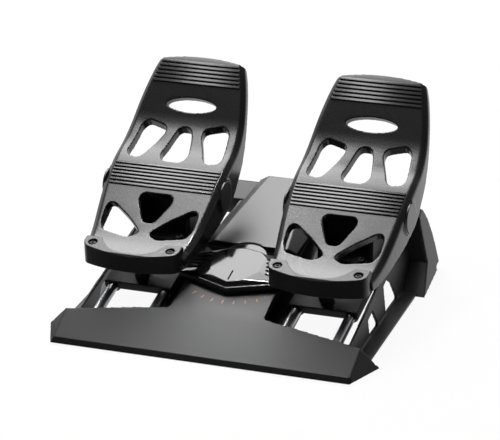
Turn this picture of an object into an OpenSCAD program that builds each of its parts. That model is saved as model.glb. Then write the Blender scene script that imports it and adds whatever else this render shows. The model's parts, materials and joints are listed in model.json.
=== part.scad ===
// Rudder pedals for a flight simulator: two foot pedals on sliding carriages,
// joined by a rocker so that one goes forward as the other comes back,
// with a toe brake in each pedal. Lengths are in millimetres, angles in degrees.

/* [Overall] */
// Distance between the centre lines of the two pedals
pedal_spacing = 180; // [176:1:186]
// Slope of the guide rails and of everything that rides on them
rail_tilt = 11.5; // [9:0.5:14]
// Travel of each carriage to either side of its middle place
travel = 24; // [16:1:24]

/* [Front cover] */
// How far the lower corner of the front cover stands out past the foot of the side frame
apron_out = 8.7; // [6:0.1:13]
// Depth of the front cover at its outer ends
apron_side_d = 36; // [32:1:40]
// Depth of the front cover beside the middle tongue
apron_mid_d = 51; // [47:1:54]
// Slope of the foot plate of the front cover
apron_slope = 25; // [22:0.5:27]
// Height of the sloping front edge
apron_lip_h = 4.3; // [3:0.1:6]
// Half width of the tongue that runs back under the hood
tongue_half_w = 44.5; // [42:0.5:47]
// Wall of the moulded covers
wall = 3; // [2.4:0.1:3.4]

/* [Rails] */
// Diameter of a guide rail
rail_d = 10; // [8:0.5:10]
// Distance between the two rails of one carriage
rail_gap = 51.4; // [48:0.2:53]
// Height of the deck of the carriage above the rail centres
deck_h = 7; // [6.8:0.1:8]
// Height of the middle deck above the rail centres
tongue_h = 12; // [11:0.1:13]
// Running clearance of every sliding or turning fit
running_fit = 0.05; // [0.03:0.01:0.1]

/* [Carriage] */
// Width of a foot carriage
carriage_w = 66; // [64:0.5:66]
// Length of a foot carriage
carriage_l = 108; // [100:1:110]
// Place of the carriage front, measured up the rails
carriage_front = 23.5; // [23:0.5:25]
// Height of the front edge of the carriage
carriage_edge_h = 8.5; // [7:0.5:10]
// Length of one slide bush
bush_l = 16; // [10:1:22]

/* [Pedal] */
// Height of the brake axle above the rail centres
axle_h = 50.5; // [48:0.5:54]
// Place of the brake axle, measured up the rails
axle_u = 115.4; // [112:0.2:117]
// Diameter of the brake axle
axle_d = 8; // [6:0.5:9]
// Half width of the tread at its widest place
tread_half_w = 54; // [51:0.5:56]
// Half width of the tread at the heel
tread_heel_half_w = 41.5; // [39:0.5:44]
// Half width of the tread at the toe
tread_toe_half_w = 38.5; // [36:0.5:42]
// Width of the sloping edge along each side of the tread
bevel_w = 4.9; // [3:0.1:6]
// Drop of the sloping edge along each side of the tread
bevel_drop = 3.7; // [2.5:0.1:5]
// Depth of the side skirts at the toe and the heel
skirt_edge_d = 11; // [9:0.5:13]
// Depth of the side skirts at the axle
skirt_hub_d = 35; // [34:0.5:38]
// Wall of the pedal
pedal_wall = 3; // [2.4:0.1:3.5]
// Depth of the rims round the windows
rim_d = 8.5; // [6:0.5:10]
// Number of ridges across the ball of the foot
mid_ridges = 7; // [5:1:7]
// Number of ridges across the toe
toe_ridges = 6; // [4:1:6]
// Diameter of the caps over the ends of the brake axle
cap_d = 28; // [24:0.5:29]

/* [Rocker] */
// Place of the rocker's pivot, measured up the rails
rocker_u = 68; // [66:0.5:70]
// How far each drive pin stands inside the centre line of its carriage
drive_pin_off = 14; // [12:0.5:15]
// Diameter of the drive pins
drive_pin_d = 6; // [5:0.5:7]
// Side clearance of a drive pin in its slot
drive_slot_fit = 0.6; // [0.5:0.05:1]
// Diameter of the rocker's shaft
rocker_shaft_d = 16; // [12:0.5:18]

/* [Rear bridge] */
// Place of the front of the rear crossbar, measured up the rails
bridge_front = 163.8; // [163:0.2:168]
// Depth of the rear crossbar, measured up the rails
bridge_l = 33; // [30:0.5:38]
// Height of the front face of the rear crossbar
bridge_h = 18; // [16:0.5:20]
// How far a rear leg stands out past the foot of the side frame
leg_out = 21.7; // [18:0.1:24]
// Room between a carriage and the foot of the side frame beside it
side_room = 11.3; // [11:0.1:13]

/* [Fixings] */
// Height of the rubber feet below the mouldings
foot_h = 1.5; // [1:0.1:3]
// Diameter of a rubber foot
foot_d = 16; // [12:1:20]
// Diameter of the screw heads
screw_head_d = 6.4; // [5.5:0.1:7]

/* [Hidden] */
$fn = 48;

// Overrun of a cut past the face that it goes through
over = 1;
// Gap left between parts that meet but do not run on each other
seat = 0.1;
// Rake of the outer side faces of the legs and of the side frames, as run over rise
side_rake_share = 0.2;
frame_rake_share = 0.15;

// The rails leave the front cover at this place: distance from the front edge, height
rail_start_y = 61;
rail_start_z = 15.5;
left = -1;
right = 1;
pedal_x = pedal_spacing / 2;
drive_r = pedal_x - drive_pin_off;
rail_r = rail_d / 2;
rail_x = rail_gap / 2;
rail_front = -27;
rail_back = bridge_front + bridge_l * 0.6;
// Half widths at the floor: the side frames, the rear legs, the front cover
frame_foot_x = pedal_x + carriage_w / 2 + side_room;
leg_half_w = frame_foot_x + leg_out;
apron_half_w = frame_foot_x + apron_out;
// Reach of a cut that has only to clear the whole of its piece
clear_l = 60;

// The foot plate and the tongue meet where their two slopes cross
apron_lip_y = 5.8;
tongue_z0 = rail_start_z + tongue_h / cos(rail_tilt) - rail_start_y * tan(rail_tilt);
apron_z0 = apron_lip_h - apron_lip_y * tan(apron_slope);
meet_y = (tongue_z0 - apron_z0) / (tan(apron_slope) - tan(rail_tilt));
meet_r = 60;
tongue_over = 18;
tongue_back = rocker_u + tongue_over;
flare_w = 19;
flare_d = 1.5;
root_w = 6;
root_r = 5.4;
apron_over = 7;
tongue_flare = 1;
tongue_flare_l = 20;
socket_wall = 2.4;
apron_end_turn = 23.5;
apron_end_lean = 40;

// The place of the brake axle on the bench
axle_y = rail_start_y + axle_u * cos(rail_tilt) - axle_h * sin(rail_tilt);
axle_z = rail_start_z + axle_u * sin(rail_tilt) + axle_h * cos(rail_tilt);

// The tread starts at the heel, this far in front of the axle and below it
heel_back = 97.4;
heel_low = 27.6;
heel_angle = 10.3;
// Each stretch of the tread: its length, and the angle that it turns through
heel_run = 17;
sole_curve = 36.4;
sole_run = 35;
ball_curve = 48;
toe_curve = 43.8;
toe_run = 43;
roll_curve = 16.8;
sole_turn = 22.2;
ball_turn = -15.7;
toe_turn = 30.8;
roll_turn = -11.5;
stretches = [[heel_run, 0], [sole_curve, sole_turn], [sole_run, 0], [ball_curve, ball_turn],
    [toe_curve, toe_turn], [toe_run, 0], [roll_curve, roll_turn]];
tread_l = heel_run + sole_curve + sole_run + ball_curve + toe_curve + toe_run + roll_curve;
// Where along the tread it is widest, and where its skirts are deepest
widest_share = 0.548;
deepest_share = 0.448;
widest_s = tread_l * widest_share;
deepest_s = tread_l * deepest_share;
skirt_heel_run = 107;
skirt_toe_run = 80;
// Ribs under the toe: places along the tread and across it
toe_rib_shares = [0.868, 0.94];
toe_rib_side_share = 0.36;
toe_rib_t = 2.2;
// How far the toe edge bows out at its middle
toe_bow = 5;

// Ridges of the tread
ridge_r = 1.7;
ridge_sink = 0.75;
ridge_margin = 1.2;
mid_ridge_share = 0.3767;
toe_ridge_share = 0.8842;
mid_ridge_s = tread_l * mid_ridge_share;
toe_ridge_s = tread_l * toe_ridge_share;
ridge_pitch = 4.05;

// Windows of the tread, as shares of its half width and of its length
window_r = 3;
rim_w = 2.4;
oval_share = 0.791;
oval_pinch_share = 0.1;
oval_half_w = 25.2;
oval_half_l = 7.4;
low_share = 0.242;
top_share = 0.608;
low_side_window_shares = [[0.807, 0.2858], [0.852, 0.2583], [0.837, 0.1917], [0.759, 0.155],
    [0.278, 0.1308], [0.111, 0.1521], [0.122, 0.1729], [0.37, 0.2271], [0.713, 0.2858]];
low_mid_window_shares = [[-0.269, 0.3475], [0.269, 0.3475], [0.319, 0.3167],
    [0.1, 0.2108], [-0.1, 0.2108],
    [-0.319, 0.3167]];
top_side_window_shares = [[0.339, 0.6667], [0.37, 0.6942], [0.713, 0.7167], [0.82, 0.6875], [0.885, 0.55],
    [0.837, 0.5233], [0.639, 0.5158], [0.565, 0.5333]];
top_mid_window_shares = [[-0.096, 0.695], [0.096, 0.695], [0.159, 0.6583], [0.259, 0.5458], [0.174, 0.51],
    [-0.174, 0.51], [-0.259, 0.5458], [-0.159, 0.6583]];

// Hub of the pedal on each side of the axle
hub_proud = 0.3;
hub_l = 11;
hub_wall = 2;
hub_out = tread_half_w + bevel_w + hub_proud;
hub_in = hub_out - hub_l;
hub_r = cap_d / 2 + hub_wall;
axle_end_gap = 1.6;
bush_end_t = 1;
cap_recess = 1.4;
cap_t = 2;
pivot_bush_wall = 2;
pivot_bush_r = axle_d / 2 + pivot_bush_wall;
pivot_bush_l = 9;

// Heel rest: a cup screwed over the heel of the pedal
cup_front = 6;
cup_half_w = 47;
cup_low = 38.5;
cup_bow_r = 118;
cup_corner_r = 9;
cup_skirt_back = 13.4;
cup_ear_back = 19;
cup_floor_back = 30;
cup_floor_t = 2.5;
cup_wall = 3.4;
cup_rim_h = 7.4;
cup_rim_angle = 12;
cup_edge_r = 3;
cup_lip_r = 2;
heel_screw_x = 38.2;
heel_screw_back = 8;
heel_screw_l = 7;
heel_screw_grip = 3;
crescent_half_w = 29;
crescent_l = 26;
crescent_shares = [[-1, 1], [-0.965, 0.54], [-0.69, 0.25], [0, 0.015], [0.69, 0.25], [0.965, 0.54],
    [1, 1]];
crescent_deep = 2;

// Screws
screw_head_r = screw_head_d / 2;
screw_head_h = 2.2;
screw_r = 1.6;
socket_r = 1.5;
recess_gap = 0.9;
recess_d = 0.6;

// Carriage
bush_wall = 1.1;
housing_wall = 1.2;
bush_out_r = rail_r + running_fit + bush_wall;
housing_r = bush_out_r + housing_wall;
rail_gate = 0.6;
side_wall = 1.8;
deck_t = 3;
carriage_back = carriage_front + carriage_l;
carriage_in_x = carriage_w / 2;
drive_pin_rise = 5;
drive_pin_top = tongue_h + drive_pin_rise;
pin_boss_wall = 3;
pin_boss_r = drive_pin_d / 2 + pin_boss_wall;

// Pillar that carries the brake axle
pillar_half_w = 27;
pillar_fore = 24.4;
pillar_aft = 13.6;
pillar_web_aft = 1.9;
pillar_web_gap = 12;
pillar_t = 4;
pillar_foot_front = axle_u - pillar_fore;
pillar_foot_back = axle_u + pillar_aft;
pillar_foot_t = 4;
pillar_top_r = 11;
pillar_web_u = axle_u + pillar_web_aft;
spring_post_r = 6.6;
spring_post_l = 17;
brake_wire_r = 0.9;
coil_gap = 0.3;
brake_coil_r = spring_post_r + coil_gap + brake_wire_r;
pitch_share = 2.6;
sensor_lug = 4;
brake_turns = 6;
sensor_r = 12;
sensor_l = 9;
pillar_screw_u_a = pillar_foot_front + pillar_t;
pillar_screw_u_b = pillar_foot_back - pillar_t;
pillar_screw_x = 15;

// Stop post under the heel
stop_u = 37;
stop_r = 6.8;
stop_stem_r = 3;
stop_nut_h = 4;
stop_nut_r = 5.2;

// Middle beam and what it holds
beam_half_w = 36;
beam_front = 1;
beam_low = -10;
beam_t = 3;
beam_top = tongue_h - wall;
bearing_wall = 1.5;
bearing_flange_t = 1.4;
boss_wall = 3;
hub_boss_r = rocker_shaft_d / 2 + bearing_wall + boss_wall;
hub_gap = 1.5;
shaft_end = 1;
hub_boss_low = 0;
retainer_t = 2;
retainer_gap = 0.3;
retainer_fit = 0.02;
spigot_r = 2.5;
mark_n = 7;
mark_turn = 10.3;
mark_r = 59;
mark_l = 4.6;
mark_w = 1.3;
mark_t = 0.8;
board_n = -8;
board_t = 1.6;
board_half_w = 23;
board_front = 40;
board_back = 112;
post_r = 3;
spring_wire_r = 0.8;
spring_coil_r = hub_boss_r + coil_gap + spring_wire_r;
spring_turns = 2;
sensor_body_r = 9;
sensor_body_h = 4.2;
sensor_floor = 0.8;
post_inset = 5;
screw_gap = 0.2;
cover_screw_l = 8;
cover_post_r = 3.6;
cover_screw_x = 28;
cover_screw_u = [9, 78, 148];

// Rocker
arm_low = tongue_h + bearing_flange_t + seat;
arm_t = 3.6;
arm_w = 16;
arm_tip_w = 13.4;
arm_hub_r = 15;
arm_waist = 44;
arm_waist_half = 4;
hood_screw_x = 22;
hood_screw_y = -4;
hood_screw_l = 4.4;
slot_gap = 2.2;
slot_end_wall = 3;
slot_in = slot_gap;
slot_out = sqrt(pow(drive_r, 2) + pow(travel, 2)) - drive_r + slot_gap;
arm_end = drive_r + slot_out + drive_pin_d / 2 + drive_slot_fit + slot_end_wall;

// Hood over the rocker
hood_lift = 0.8;
hood_low = tongue_h + hood_lift;
hood_half_w = 56;
hood_front_l = 50.5;
hood_lip_n = 19.6;
hood_top_n = 23.6;
hood_rim_t = 1.4;
hood_low_shares = [[0, -1], [0.91, -0.664], [1, -0.535], [0.982, -0.158], [0.43, 0.08], [0.25, 0.208],
    [0, 0.257]];
hood_top_shares = [[0, -0.871], [0.25, -0.752], [0.43, -0.475], [0.43, -0.08], [0.268, 0.1], [0, 0.158]];
louvre_n = 5;
louvre_pitch = 5.2;
louvre_gap = 1.8;
louvre_in = 31;
louvre_step = 1.2;
louvre_front = 26;
louvre_deep = 1.1;
hood_rear_r = 22.3;
hood_rear_top = 18.4;

// Spine cover
bridge_rise = 0.6;
bridge_top = tongue_h + bridge_rise;
spine_front = 88;
spine_back = 198;
spine_top_n = 18.7;
spine_front_half = 36.5;
spine_taper = 8.4;
spine_chamfer_w = 10.6;
spine_deck_t = 2.7;
spine_deck_back_half = 39;
spine_recess_r = 23.4;
spine_over_bridge = bridge_top;
spine_rib_l = 8;

// Side frames
frame_t = 3;
frame_drop = 1;
frame_lift = 0.4;
frame_clear = 0.8;
flange_overlap = 20;
flange_out = 12.9;
flange_half_w = frame_foot_x + flange_out;
flange_t = 3;
// Windows as shares of the frame's length and of its height there
front_window_shares = [[0.342, 0.127], [0.44, 0.108], [0.411, 0.68], [0.353, 0.645]];
rear_window_shares = [[0.53, 0.094], [0.664, 0.08], [0.633, 0.525], [0.593, 0.755], [0.551, 0.74]];
frame_window_r = 2.2;

// Rear bridge
leg_box_w = 34;
bridge_end_x = leg_half_w - leg_box_w;
bridge_edge_r = 4;
leg_taper = 5.4;
leg_front_y = 181;
leg_back_y = 253;
leg_h = 66.2;
wedge_w = 25;
wedge_in_x = leg_half_w - wedge_w;
// Side view of the legs as shares of their depth and height, the wedge at the front first
leg_shares = [[-0.014, 0], [0.833, 0], [0.833, 0.051], [1, 0.051], [1.005, 0.242], [0.978, 0.514],
    [0.908, 0.755],
    [0.792, 0.943], [0.708, 1], [0.556, 0.944], [0.528, 0.861], [0.48, 0.302]];
leg_profile = [for (q = leg_shares) [leg_front_y + q[0] * (leg_back_y - leg_front_y), q[1] * leg_h]];
bridge_back_drop = 6;
leg_pocket_w = 12;
leg_pocket_l = 18;
leg_pocket_h = 48;
gland_x = 60;
gland_r = 6;
gland_hole_r = 2.6;
gland_l = 12;
gland_nose_l = 5;
gland_nose_step = 1.4;
side_pocket = [pedal_x - rail_x + rail_r + wall, pedal_x + rail_x - rail_r - wall];
mid_pocket_half = gland_x - gland_r - wall;

// Points of an arc
function arc(c, r, a0, a1, n = 12) =
    [for (i = [0:n]) c + r * [cos(a0 + (a1 - a0) * i / n), sin(a0 + (a1 - a0) * i / n)]];

function unit(v) = v / norm(v);

// Angle brought to the half turn either side of zero
function half_turn(a) = a > 180 ? a - 360 : a <= -180 ? a + 360 : a;

// Outline with every corner rounded
function rounded(p, r, n = 4) = [for (i = [0:len(p) - 1])
    let (a = p[(i + len(p) - 1) % len(p)],
        b = p[i],
        c = p[(i + 1) % len(p)],
        u = unit(a - b),
        v = unit(c - b),
        half = acos(u * v) / 2,
        m = b + unit(u + v) * r / sin(half),
        from = b + u * r / tan(half) - m,
        to = b + v * r / tan(half) - m,
        a0 = atan2(from[1], from[0]),
        turn = half_turn(atan2(to[1], to[0]) - a0))
    for (j = [0:n]) m + r * [cos(a0 + turn * j / n), sin(a0 + turn * j / n)]];

// The other half of an outline given for one side
function mirrored(p) = [for (i = [len(p) - 1:-1:0]) [-p[i][0], p[i][1]]];

// End of one stretch of the tread, from its start, its direction, its length and its turn
function stretch_end(p, a, l, t) =
    abs(t) < 0.001 ? p + l * [cos(a), sin(a)]
    : p + l * 180 / (PI * t) * [sin(a + t) - sin(a), cos(a) - cos(a + t)];

// Start of stretch number i: place, direction, distance along the tread
function stretch_start(i) = i == 0 ? [[0, 0], heel_angle, 0]
    : let (s = stretch_start(i - 1), g = stretches[i - 1])
    [stretch_end(s[0], s[1], g[0], g[1]), s[1] + g[1], s[2] + g[0]];

starts = [for (i = [0:len(stretches) - 1]) stretch_start(i)];

// The model is centred on its own depth
toe_end = along_tread(tread_l - toe_bow);
overall_d = axle_y - heel_back + toe_end[0] + skirt_edge_d * sin(toe_end[2]);
mid_y = overall_d / 2;

// Back, up and slope at a distance along the tread, measured from its heel
function along_tread(s, i = 0) =
    i < len(stretches) - 1 && s > starts[i][2] + stretches[i][0] ? along_tread(s, i + 1)
    : let (l = s - starts[i][2],
        t = stretches[i][1] * l / stretches[i][0],
        p = stretch_end(starts[i][0], starts[i][1], l, t))
    [p[0], p[1], starts[i][1] + t];

// Half width of the tread: it swells from the heel to the ball and narrows to the toe
function tread_half(s) = s < widest_s
    ? tread_half_w - (tread_half_w - tread_heel_half_w) * pow((widest_s - s) / widest_s, 2)
    : tread_half_w - (tread_half_w - tread_toe_half_w) * pow((s - widest_s) / (tread_l - widest_s), 2);

// Depth of the side skirts: deepest beside the axle
function skirt_d(s) = let (
    k = s < deepest_s ? (deepest_s - s) / skirt_heel_run : (s - deepest_s) / skirt_toe_run)
    skirt_edge_d + (skirt_hub_d - skirt_edge_d) * pow(cos(90 * min(1, k)), 2);

// One cross section of the tread, as points across, back and up
function tread_section(s, inset, deep) =
    let (h = tread_half(s) - inset * 0.6,
        w = tread_half(s) + bevel_w - inset,
        across = [[-w, deep], [-w, bevel_drop + inset * 0.6], [-h, inset], [-h / 2, inset], [0, inset],
            [h / 2, inset], [h, inset], [w, bevel_drop + inset * 0.6], [w, deep]])
    [for (q = across)
        let (bow = toe_bow * pow(s / tread_l, 6) * pow(q[0] / w, 2),
            f = along_tread(s - bow))
        [q[0], f[0] + q[1] * sin(f[2]), f[1] - q[1] * cos(f[2])]];

// Closed skin over a row of cross sections of equal length
module skin(rows) {
    m = len(rows[0]);
    n = len(rows);
    points = [for (r = rows) each r];
    sides = [for (i = [0:n - 2], j = [0:m - 1])
        [i * m + j, i * m + (j + 1) % m, (i + 1) * m + (j + 1) % m, (i + 1) * m + j]];
    ends = [[for (j = [m - 1:-1:0]) j], [for (j = [0:m - 1]) (n - 1) * m + j]];
    faces = concat(
        [for (f = sides) each [[f[0], f[2], f[1]], [f[0], f[3], f[2]]]],
        [for (j = [1:m - 2]) [0, j, j + 1]],
        [for (j = [1:m - 2]) [(n - 1) * m, (n - 1) * m + j + 1, (n - 1) * m + j]]);
    polyhedron(points, faces, convexity = 6);
}

// Places along the tread where its form is drawn
function stations(from, to, n) = [for (i = [0:n]) from + (to - from) * i / n];

// Coil of round wire about the z axis
module coil(r, wire_r, turns, pitch) {
    rings = ceil(turns * 16);
    rows = [for (i = [0:rings])
        let (a = 360 * turns * i / rings)
        [for (k = [0:5])
            let (q = r + wire_r * cos(60 * k))
            [q * cos(a), q * sin(a), pitch * a / 360 + wire_r * sin(60 * k)]]];
    skin([for (row = rows) [for (i = [5:-1:0]) row[i]]]);
}

// Places of the work
module bench() translate([0, -mid_y, foot_h]) children();

module on_rails() bench() translate([0, rail_start_y, rail_start_z]) rotate([rail_tilt, 0, 0]) children();

module at_carriage(side) on_rails() translate([side * pedal_x, 0, 0]) children();

module at_rocker() on_rails() translate([0, rocker_u, 0]) children();

module at_axle(side) bench() translate([side * pedal_x, axle_y, axle_z]) children();

// The frame of the tread, with its origin at the heel
module at_heel(side) at_axle(side) translate([0, -heel_back, -heel_low]) children();

// A place on the tread, with x across, y along and z out of it
module on_tread(s) {
    f = along_tread(s);
    translate([0, f[0], f[1]]) rotate([f[2], 0, 0]) children();
}

// Outline in x and z, drawn out along y
module along_y(y0, y1) translate([0, y1, 0]) rotate([90, 0, 0]) linear_extrude(y1 - y0) children();

// Outline in y and z, drawn out along x
module along_x(x0, x1) translate([x0, 0, 0]) rotate([90, 0, 90]) linear_extrude(x1 - x0) children();

// Round bar along x
module bar_x(r, x0, x1) translate([x0, 0, 0]) rotate([0, 90, 0]) cylinder(r = r, h = x1 - x0);

// Round bar along y
module bar_y(r, y0, y1) translate([0, y0, 0]) rotate([-90, 0, 0]) cylinder(r = r, h = y1 - y0);

module both_sides() {
    children();
    mirror([1, 0, 0]) children();
}

// Screw with its head upwards and the top of its head at zero
module screw(l) difference() {
    union() {
        translate([0, 0, -screw_head_h]) cylinder(r = screw_head_r, h = screw_head_h);
        translate([0, 0, -screw_head_h - l]) cylinder(r = screw_r, h = l + screw_head_h);
    }
    translate([0, 0, -screw_head_h * 0.6]) cylinder(r = socket_r, h = screw_head_h, $fn = 6);
}

// Front cover

// Side view of the foot plate and the tongue, sunk by the given amount
module apron_profile(sink) {
    low = sink > 0 ? -over : 0;
    drop = sink / cos(apron_slope);
    reach = meet_y + meet_r;
    bend = meet_r * tan((apron_slope - rail_tilt) / 2);
    meet_z = tongue_z0 + meet_y * tan(rail_tilt);
    centre = [meet_y - bend * cos(apron_slope) + meet_r * sin(apron_slope),
        meet_z - bend * sin(apron_slope) - meet_r * cos(apron_slope)];
    polygon(concat(
        [[sink * 1.6, low], [apron_lip_y + sink, apron_lip_h - drop]],
        arc(centre - [0, sink], meet_r, 90 + apron_slope, 90 + rail_tilt, 6),
        [[reach, tongue_z0 - sink + reach * tan(rail_tilt)], [reach, low]]));
}

// Plan of the front cover without its tongue, shrunk by the given amount
module apron_plan(inset) {
    end_x = apron_half_w + flare_w - inset;
    root_x = tongue_half_w + root_w + inset;
    side = [[end_x, apron_side_d + flare_d - inset], [apron_half_w - inset, apron_side_d - inset]];
    corner = arc([root_x, apron_mid_d + root_r - inset], root_r, -90, -180, 4);
    half = concat([[end_x, -over]], side, corner, [[corner[4][0], meet_y + apron_over - inset]]);
    polygon(concat(half, mirrored(half)));
}

// Cuts away what lies outside the slanting ends of the front cover
module apron_ends(inset) both_sides()
    translate([apron_half_w - inset, 0, 0]) rotate([0, 0, -apron_end_turn])
        rotate([0, -apron_end_lean, 0])
        translate([0, -leg_half_w, -leg_half_w]) cube([leg_half_w, 2 * leg_half_w, 2 * leg_half_w]);

module apron_solid(sink) difference() {
    intersection() {
        along_x(-2 * leg_half_w, 2 * leg_half_w) apron_profile(sink);
        translate([0, 0, -over]) linear_extrude(clear_l) apron_plan(sink * 0.9);
    }
    apron_ends(sink * 1.3);
}

// The tongue, a flat tray that runs up over the middle beam
module tongue_solid(inset) {
    x = tongue_half_w - inset;
    translate([0, 0, tongue_h - wall]) linear_extrude(wall) polygon([
        [x + tongue_flare, -over], [x, tongue_flare_l], [x, tongue_back],
        [-x, tongue_back], [-x, tongue_flare_l], [-x - tongue_flare, -over]]);
}

module rail_sockets() both_sides() for (x = [-rail_x, rail_x])
    translate([pedal_x + x, 0, 0]) bar_y(rail_r + socket_wall, rail_front - wall, 0);

module rail_bores() both_sides() for (x = [-rail_x, rail_x])
    translate([pedal_x + x, 0, 0]) bar_y(rail_r, rail_front, rail_back);

module to_rails() translate([0, rail_start_y, rail_start_z]) rotate([rail_tilt, 0, 0]) children();

module front_cover() color([0.16, 0.16, 0.17]) bench() {
    difference() {
        union() {
            difference() {
                apron_solid(0);
                apron_solid(wall);
            }
            intersection() {
                apron_solid(0);
                union() {
                    to_rails() rail_sockets();
                    both_sides() for (x = [pedal_x - rail_x * 1.6, pedal_x, pedal_x + rail_x * 1.6])
                        translate([x - wall, apron_lip_y, 0]) cube([wall, apron_side_d, clear_l]);
                    for (p = foot_places) translate([p[0], p[1], 0])
                        cylinder(r = foot_d / 2 + wall, h = clear_l);
                }
            }
            to_rails() tongue_solid(0);
        }
        to_rails() rail_bores();
        to_rails() translate([0, rocker_u, 0]) cylinder(r = hub_boss_r + hub_gap, h = clear_l);
        foot_seats();
        marks(0);
    }
}

// Marks of the scale, laid into the tongue in an arc about the rocker
module marks(depth) to_rails() translate([0, rocker_u, 0]) for (i = [0:mark_n - 1])
    rotate([0, 0, (i - (mark_n - 1) / 2) * mark_turn])
        translate([-mark_w / 2, -mark_r - mark_l / 2, tongue_h - mark_t])
        cube([mark_w, mark_l, depth > 0 ? depth : mark_t + over]);

module scale_marks() color([0.75, 0.3, 0.1]) bench() marks(mark_t);

// Middle beam

module beam_section() difference() {
    polygon([[-beam_half_w, beam_low], [beam_half_w, beam_low], [beam_half_w, beam_top],
        [-beam_half_w, beam_top]]);
    polygon([[-beam_half_w + beam_t, beam_low - over], [beam_half_w - beam_t, beam_low - over],
        [beam_half_w - beam_t, beam_top - beam_t], [-beam_half_w + beam_t, beam_top - beam_t]]);
}

module cover_screw_places() for (x = [-cover_screw_x, cover_screw_x], u = cover_screw_u)
    translate([x, u, 0]) children();

module board_posts() for (x = [-board_half_w + post_inset, board_half_w - post_inset],
    u = [board_front + post_inset, board_back - post_inset]) translate([x, u, board_n])
        cylinder(r = post_r, h = beam_top - beam_t - board_n + over);

module center_beam() color([0.13, 0.13, 0.14]) on_rails() difference() {
    union() {
        along_y(beam_front, bridge_front - seat) beam_section();
        translate([-beam_half_w, bridge_front - seat - beam_t, beam_low])
            cube([2 * beam_half_w, beam_t, beam_top - beam_low]);
        translate([-beam_half_w, beam_front, beam_low])
            cube([2 * beam_half_w, beam_t, beam_top - beam_low]);
        translate([0, rocker_u, hub_boss_low]) cylinder(r = hub_boss_r, h = beam_top - hub_boss_low);
        board_posts();
        cover_screw_places() translate([0, 0, beam_low])
            cylinder(r = cover_post_r, h = beam_top - beam_low - over);
    }
    translate([0, rocker_u, beam_low]) cylinder(r = rocker_shaft_d / 2 + bearing_wall, h = clear_l);
    cover_screw_places() translate([0, 0, beam_low - over])
        cylinder(r = screw_r, h = cover_screw_l + 2 * over);
}

module bottom_cover() color([0.11, 0.11, 0.12]) on_rails() difference() {
    translate([-beam_half_w, beam_front, beam_low - beam_t * 0.7])
        cube([2 * beam_half_w, bridge_front - seat - beam_front, beam_t * 0.7]);
    cover_screw_places() translate([0, 0, beam_low - beam_t])
        cylinder(r = screw_r + screw_gap, h = 2 * beam_t);
}

module bottom_screws() color([0.2, 0.2, 0.21]) on_rails()
    cover_screw_places() translate([0, 0, beam_low - beam_t * 0.7]) mirror([0, 0, 1])
        translate([0, 0, screw_head_h]) screw(cover_screw_l);

// Spine cover

// Everything above a plane that slopes down and out from a line along the spine
module spine_slope() both_sides()
    translate([spine_front_half, spine_front, spine_top_n]) rotate([0, 0, spine_taper])
        rotate([0, atan2(spine_top_n - tongue_h, spine_chamfer_w), 0])
            translate([0, -spine_back, 0]) cube([spine_back, 3 * spine_back, spine_back]);

module spine_cover() color([0.3, 0.3, 0.31]) on_rails() difference() {
    union() {
        translate([0, 0, tongue_h - spine_deck_t]) linear_extrude(spine_deck_t) polygon([
            [-tongue_half_w, tongue_back + seat], [tongue_half_w, tongue_back + seat],
            [spine_deck_back_half, bridge_front - seat], [-spine_deck_back_half, bridge_front - seat]]);
        difference() {
            translate([-tongue_half_w, spine_front, tongue_h - spine_deck_t])
                cube([2 * tongue_half_w, bridge_front - seat - spine_front,
                    spine_top_n - tongue_h + spine_deck_t]);
            spine_slope();
        }
        difference() {
            translate([-tongue_half_w, spine_front, spine_over_bridge])
                cube([2 * tongue_half_w, spine_back - spine_front, spine_top_n - spine_over_bridge]);
            spine_slope();
        }
    }
    translate([0, rocker_u, tongue_h]) cylinder(r = spine_recess_r, h = clear_l);
    translate([0, 0, tongue_h - spine_deck_t - over])
        linear_extrude(spine_top_n - tongue_h + spine_deck_t + over - wall)
        polygon([[-spine_front_half, spine_front + spine_rib_l],
            [spine_front_half, spine_front + spine_rib_l],
            [spine_front_half * 0.68, bridge_front - 2 * wall],
            [-spine_front_half * 0.68, bridge_front - 2 * wall]]);
}

// Rear bridge

// Cuts away what lies outside the raked side faces of the legs
module leg_sides(inset) both_sides()
    translate([leg_half_w - inset, leg_front_y, 0]) rotate([0, 0, leg_taper])
        rotate([0, -atan(side_rake_share), 0])
        translate([0, -leg_back_y, -leg_back_y]) cube([leg_half_w, 2 * leg_back_y, 2 * leg_back_y]);

module bridge_section() polygon(concat(
    [[bridge_front, bridge_top - bridge_h], [bridge_front, bridge_top]],
    arc([bridge_front + bridge_l - bridge_edge_r, bridge_top - bridge_edge_r], bridge_edge_r, 90, 0, 5),
    [[bridge_front + bridge_l, bridge_top - bridge_h - bridge_back_drop]]));

module bridge_solid() {
    to_rails() along_x(-bridge_end_x, bridge_end_x) bridge_section();
    difference() {
        union() {
            along_x(-leg_half_w, -bridge_end_x) polygon(leg_profile);
            along_x(bridge_end_x, leg_half_w) polygon(leg_profile);
        }
        leg_sides(0);
        for (side = [left, right]) translate([side > 0 ? 0 : -wedge_in_x, 0, -over])
            cube([wedge_in_x, leg_profile[11][0], clear_l]);
    }
}

module bridge_pocket(x0, x1) translate([x0, bridge_front + wall, bridge_top - bridge_h * 2])
    cube([x1 - x0, bridge_l - 2 * wall, bridge_h * 2 - wall]);

module rear_bridge() color([0.15, 0.15, 0.16]) bench() difference() {
    bridge_solid();
    to_rails() rail_bores();
    to_rails() bridge_pocket(-mid_pocket_half, mid_pocket_half);
    to_rails() both_sides() bridge_pocket(side_pocket[0], side_pocket[1]);
    both_sides() translate([bridge_end_x + 2 * wall, leg_profile[10][0] + wall, -over])
        cube([leg_pocket_w, leg_pocket_l, leg_pocket_h]);
    to_rails() translate([-gland_x, bridge_front + bridge_l - gland_l + over, 0])
        bar_y(gland_r, 0, gland_l * 2);
    foot_seats();
}

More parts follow.
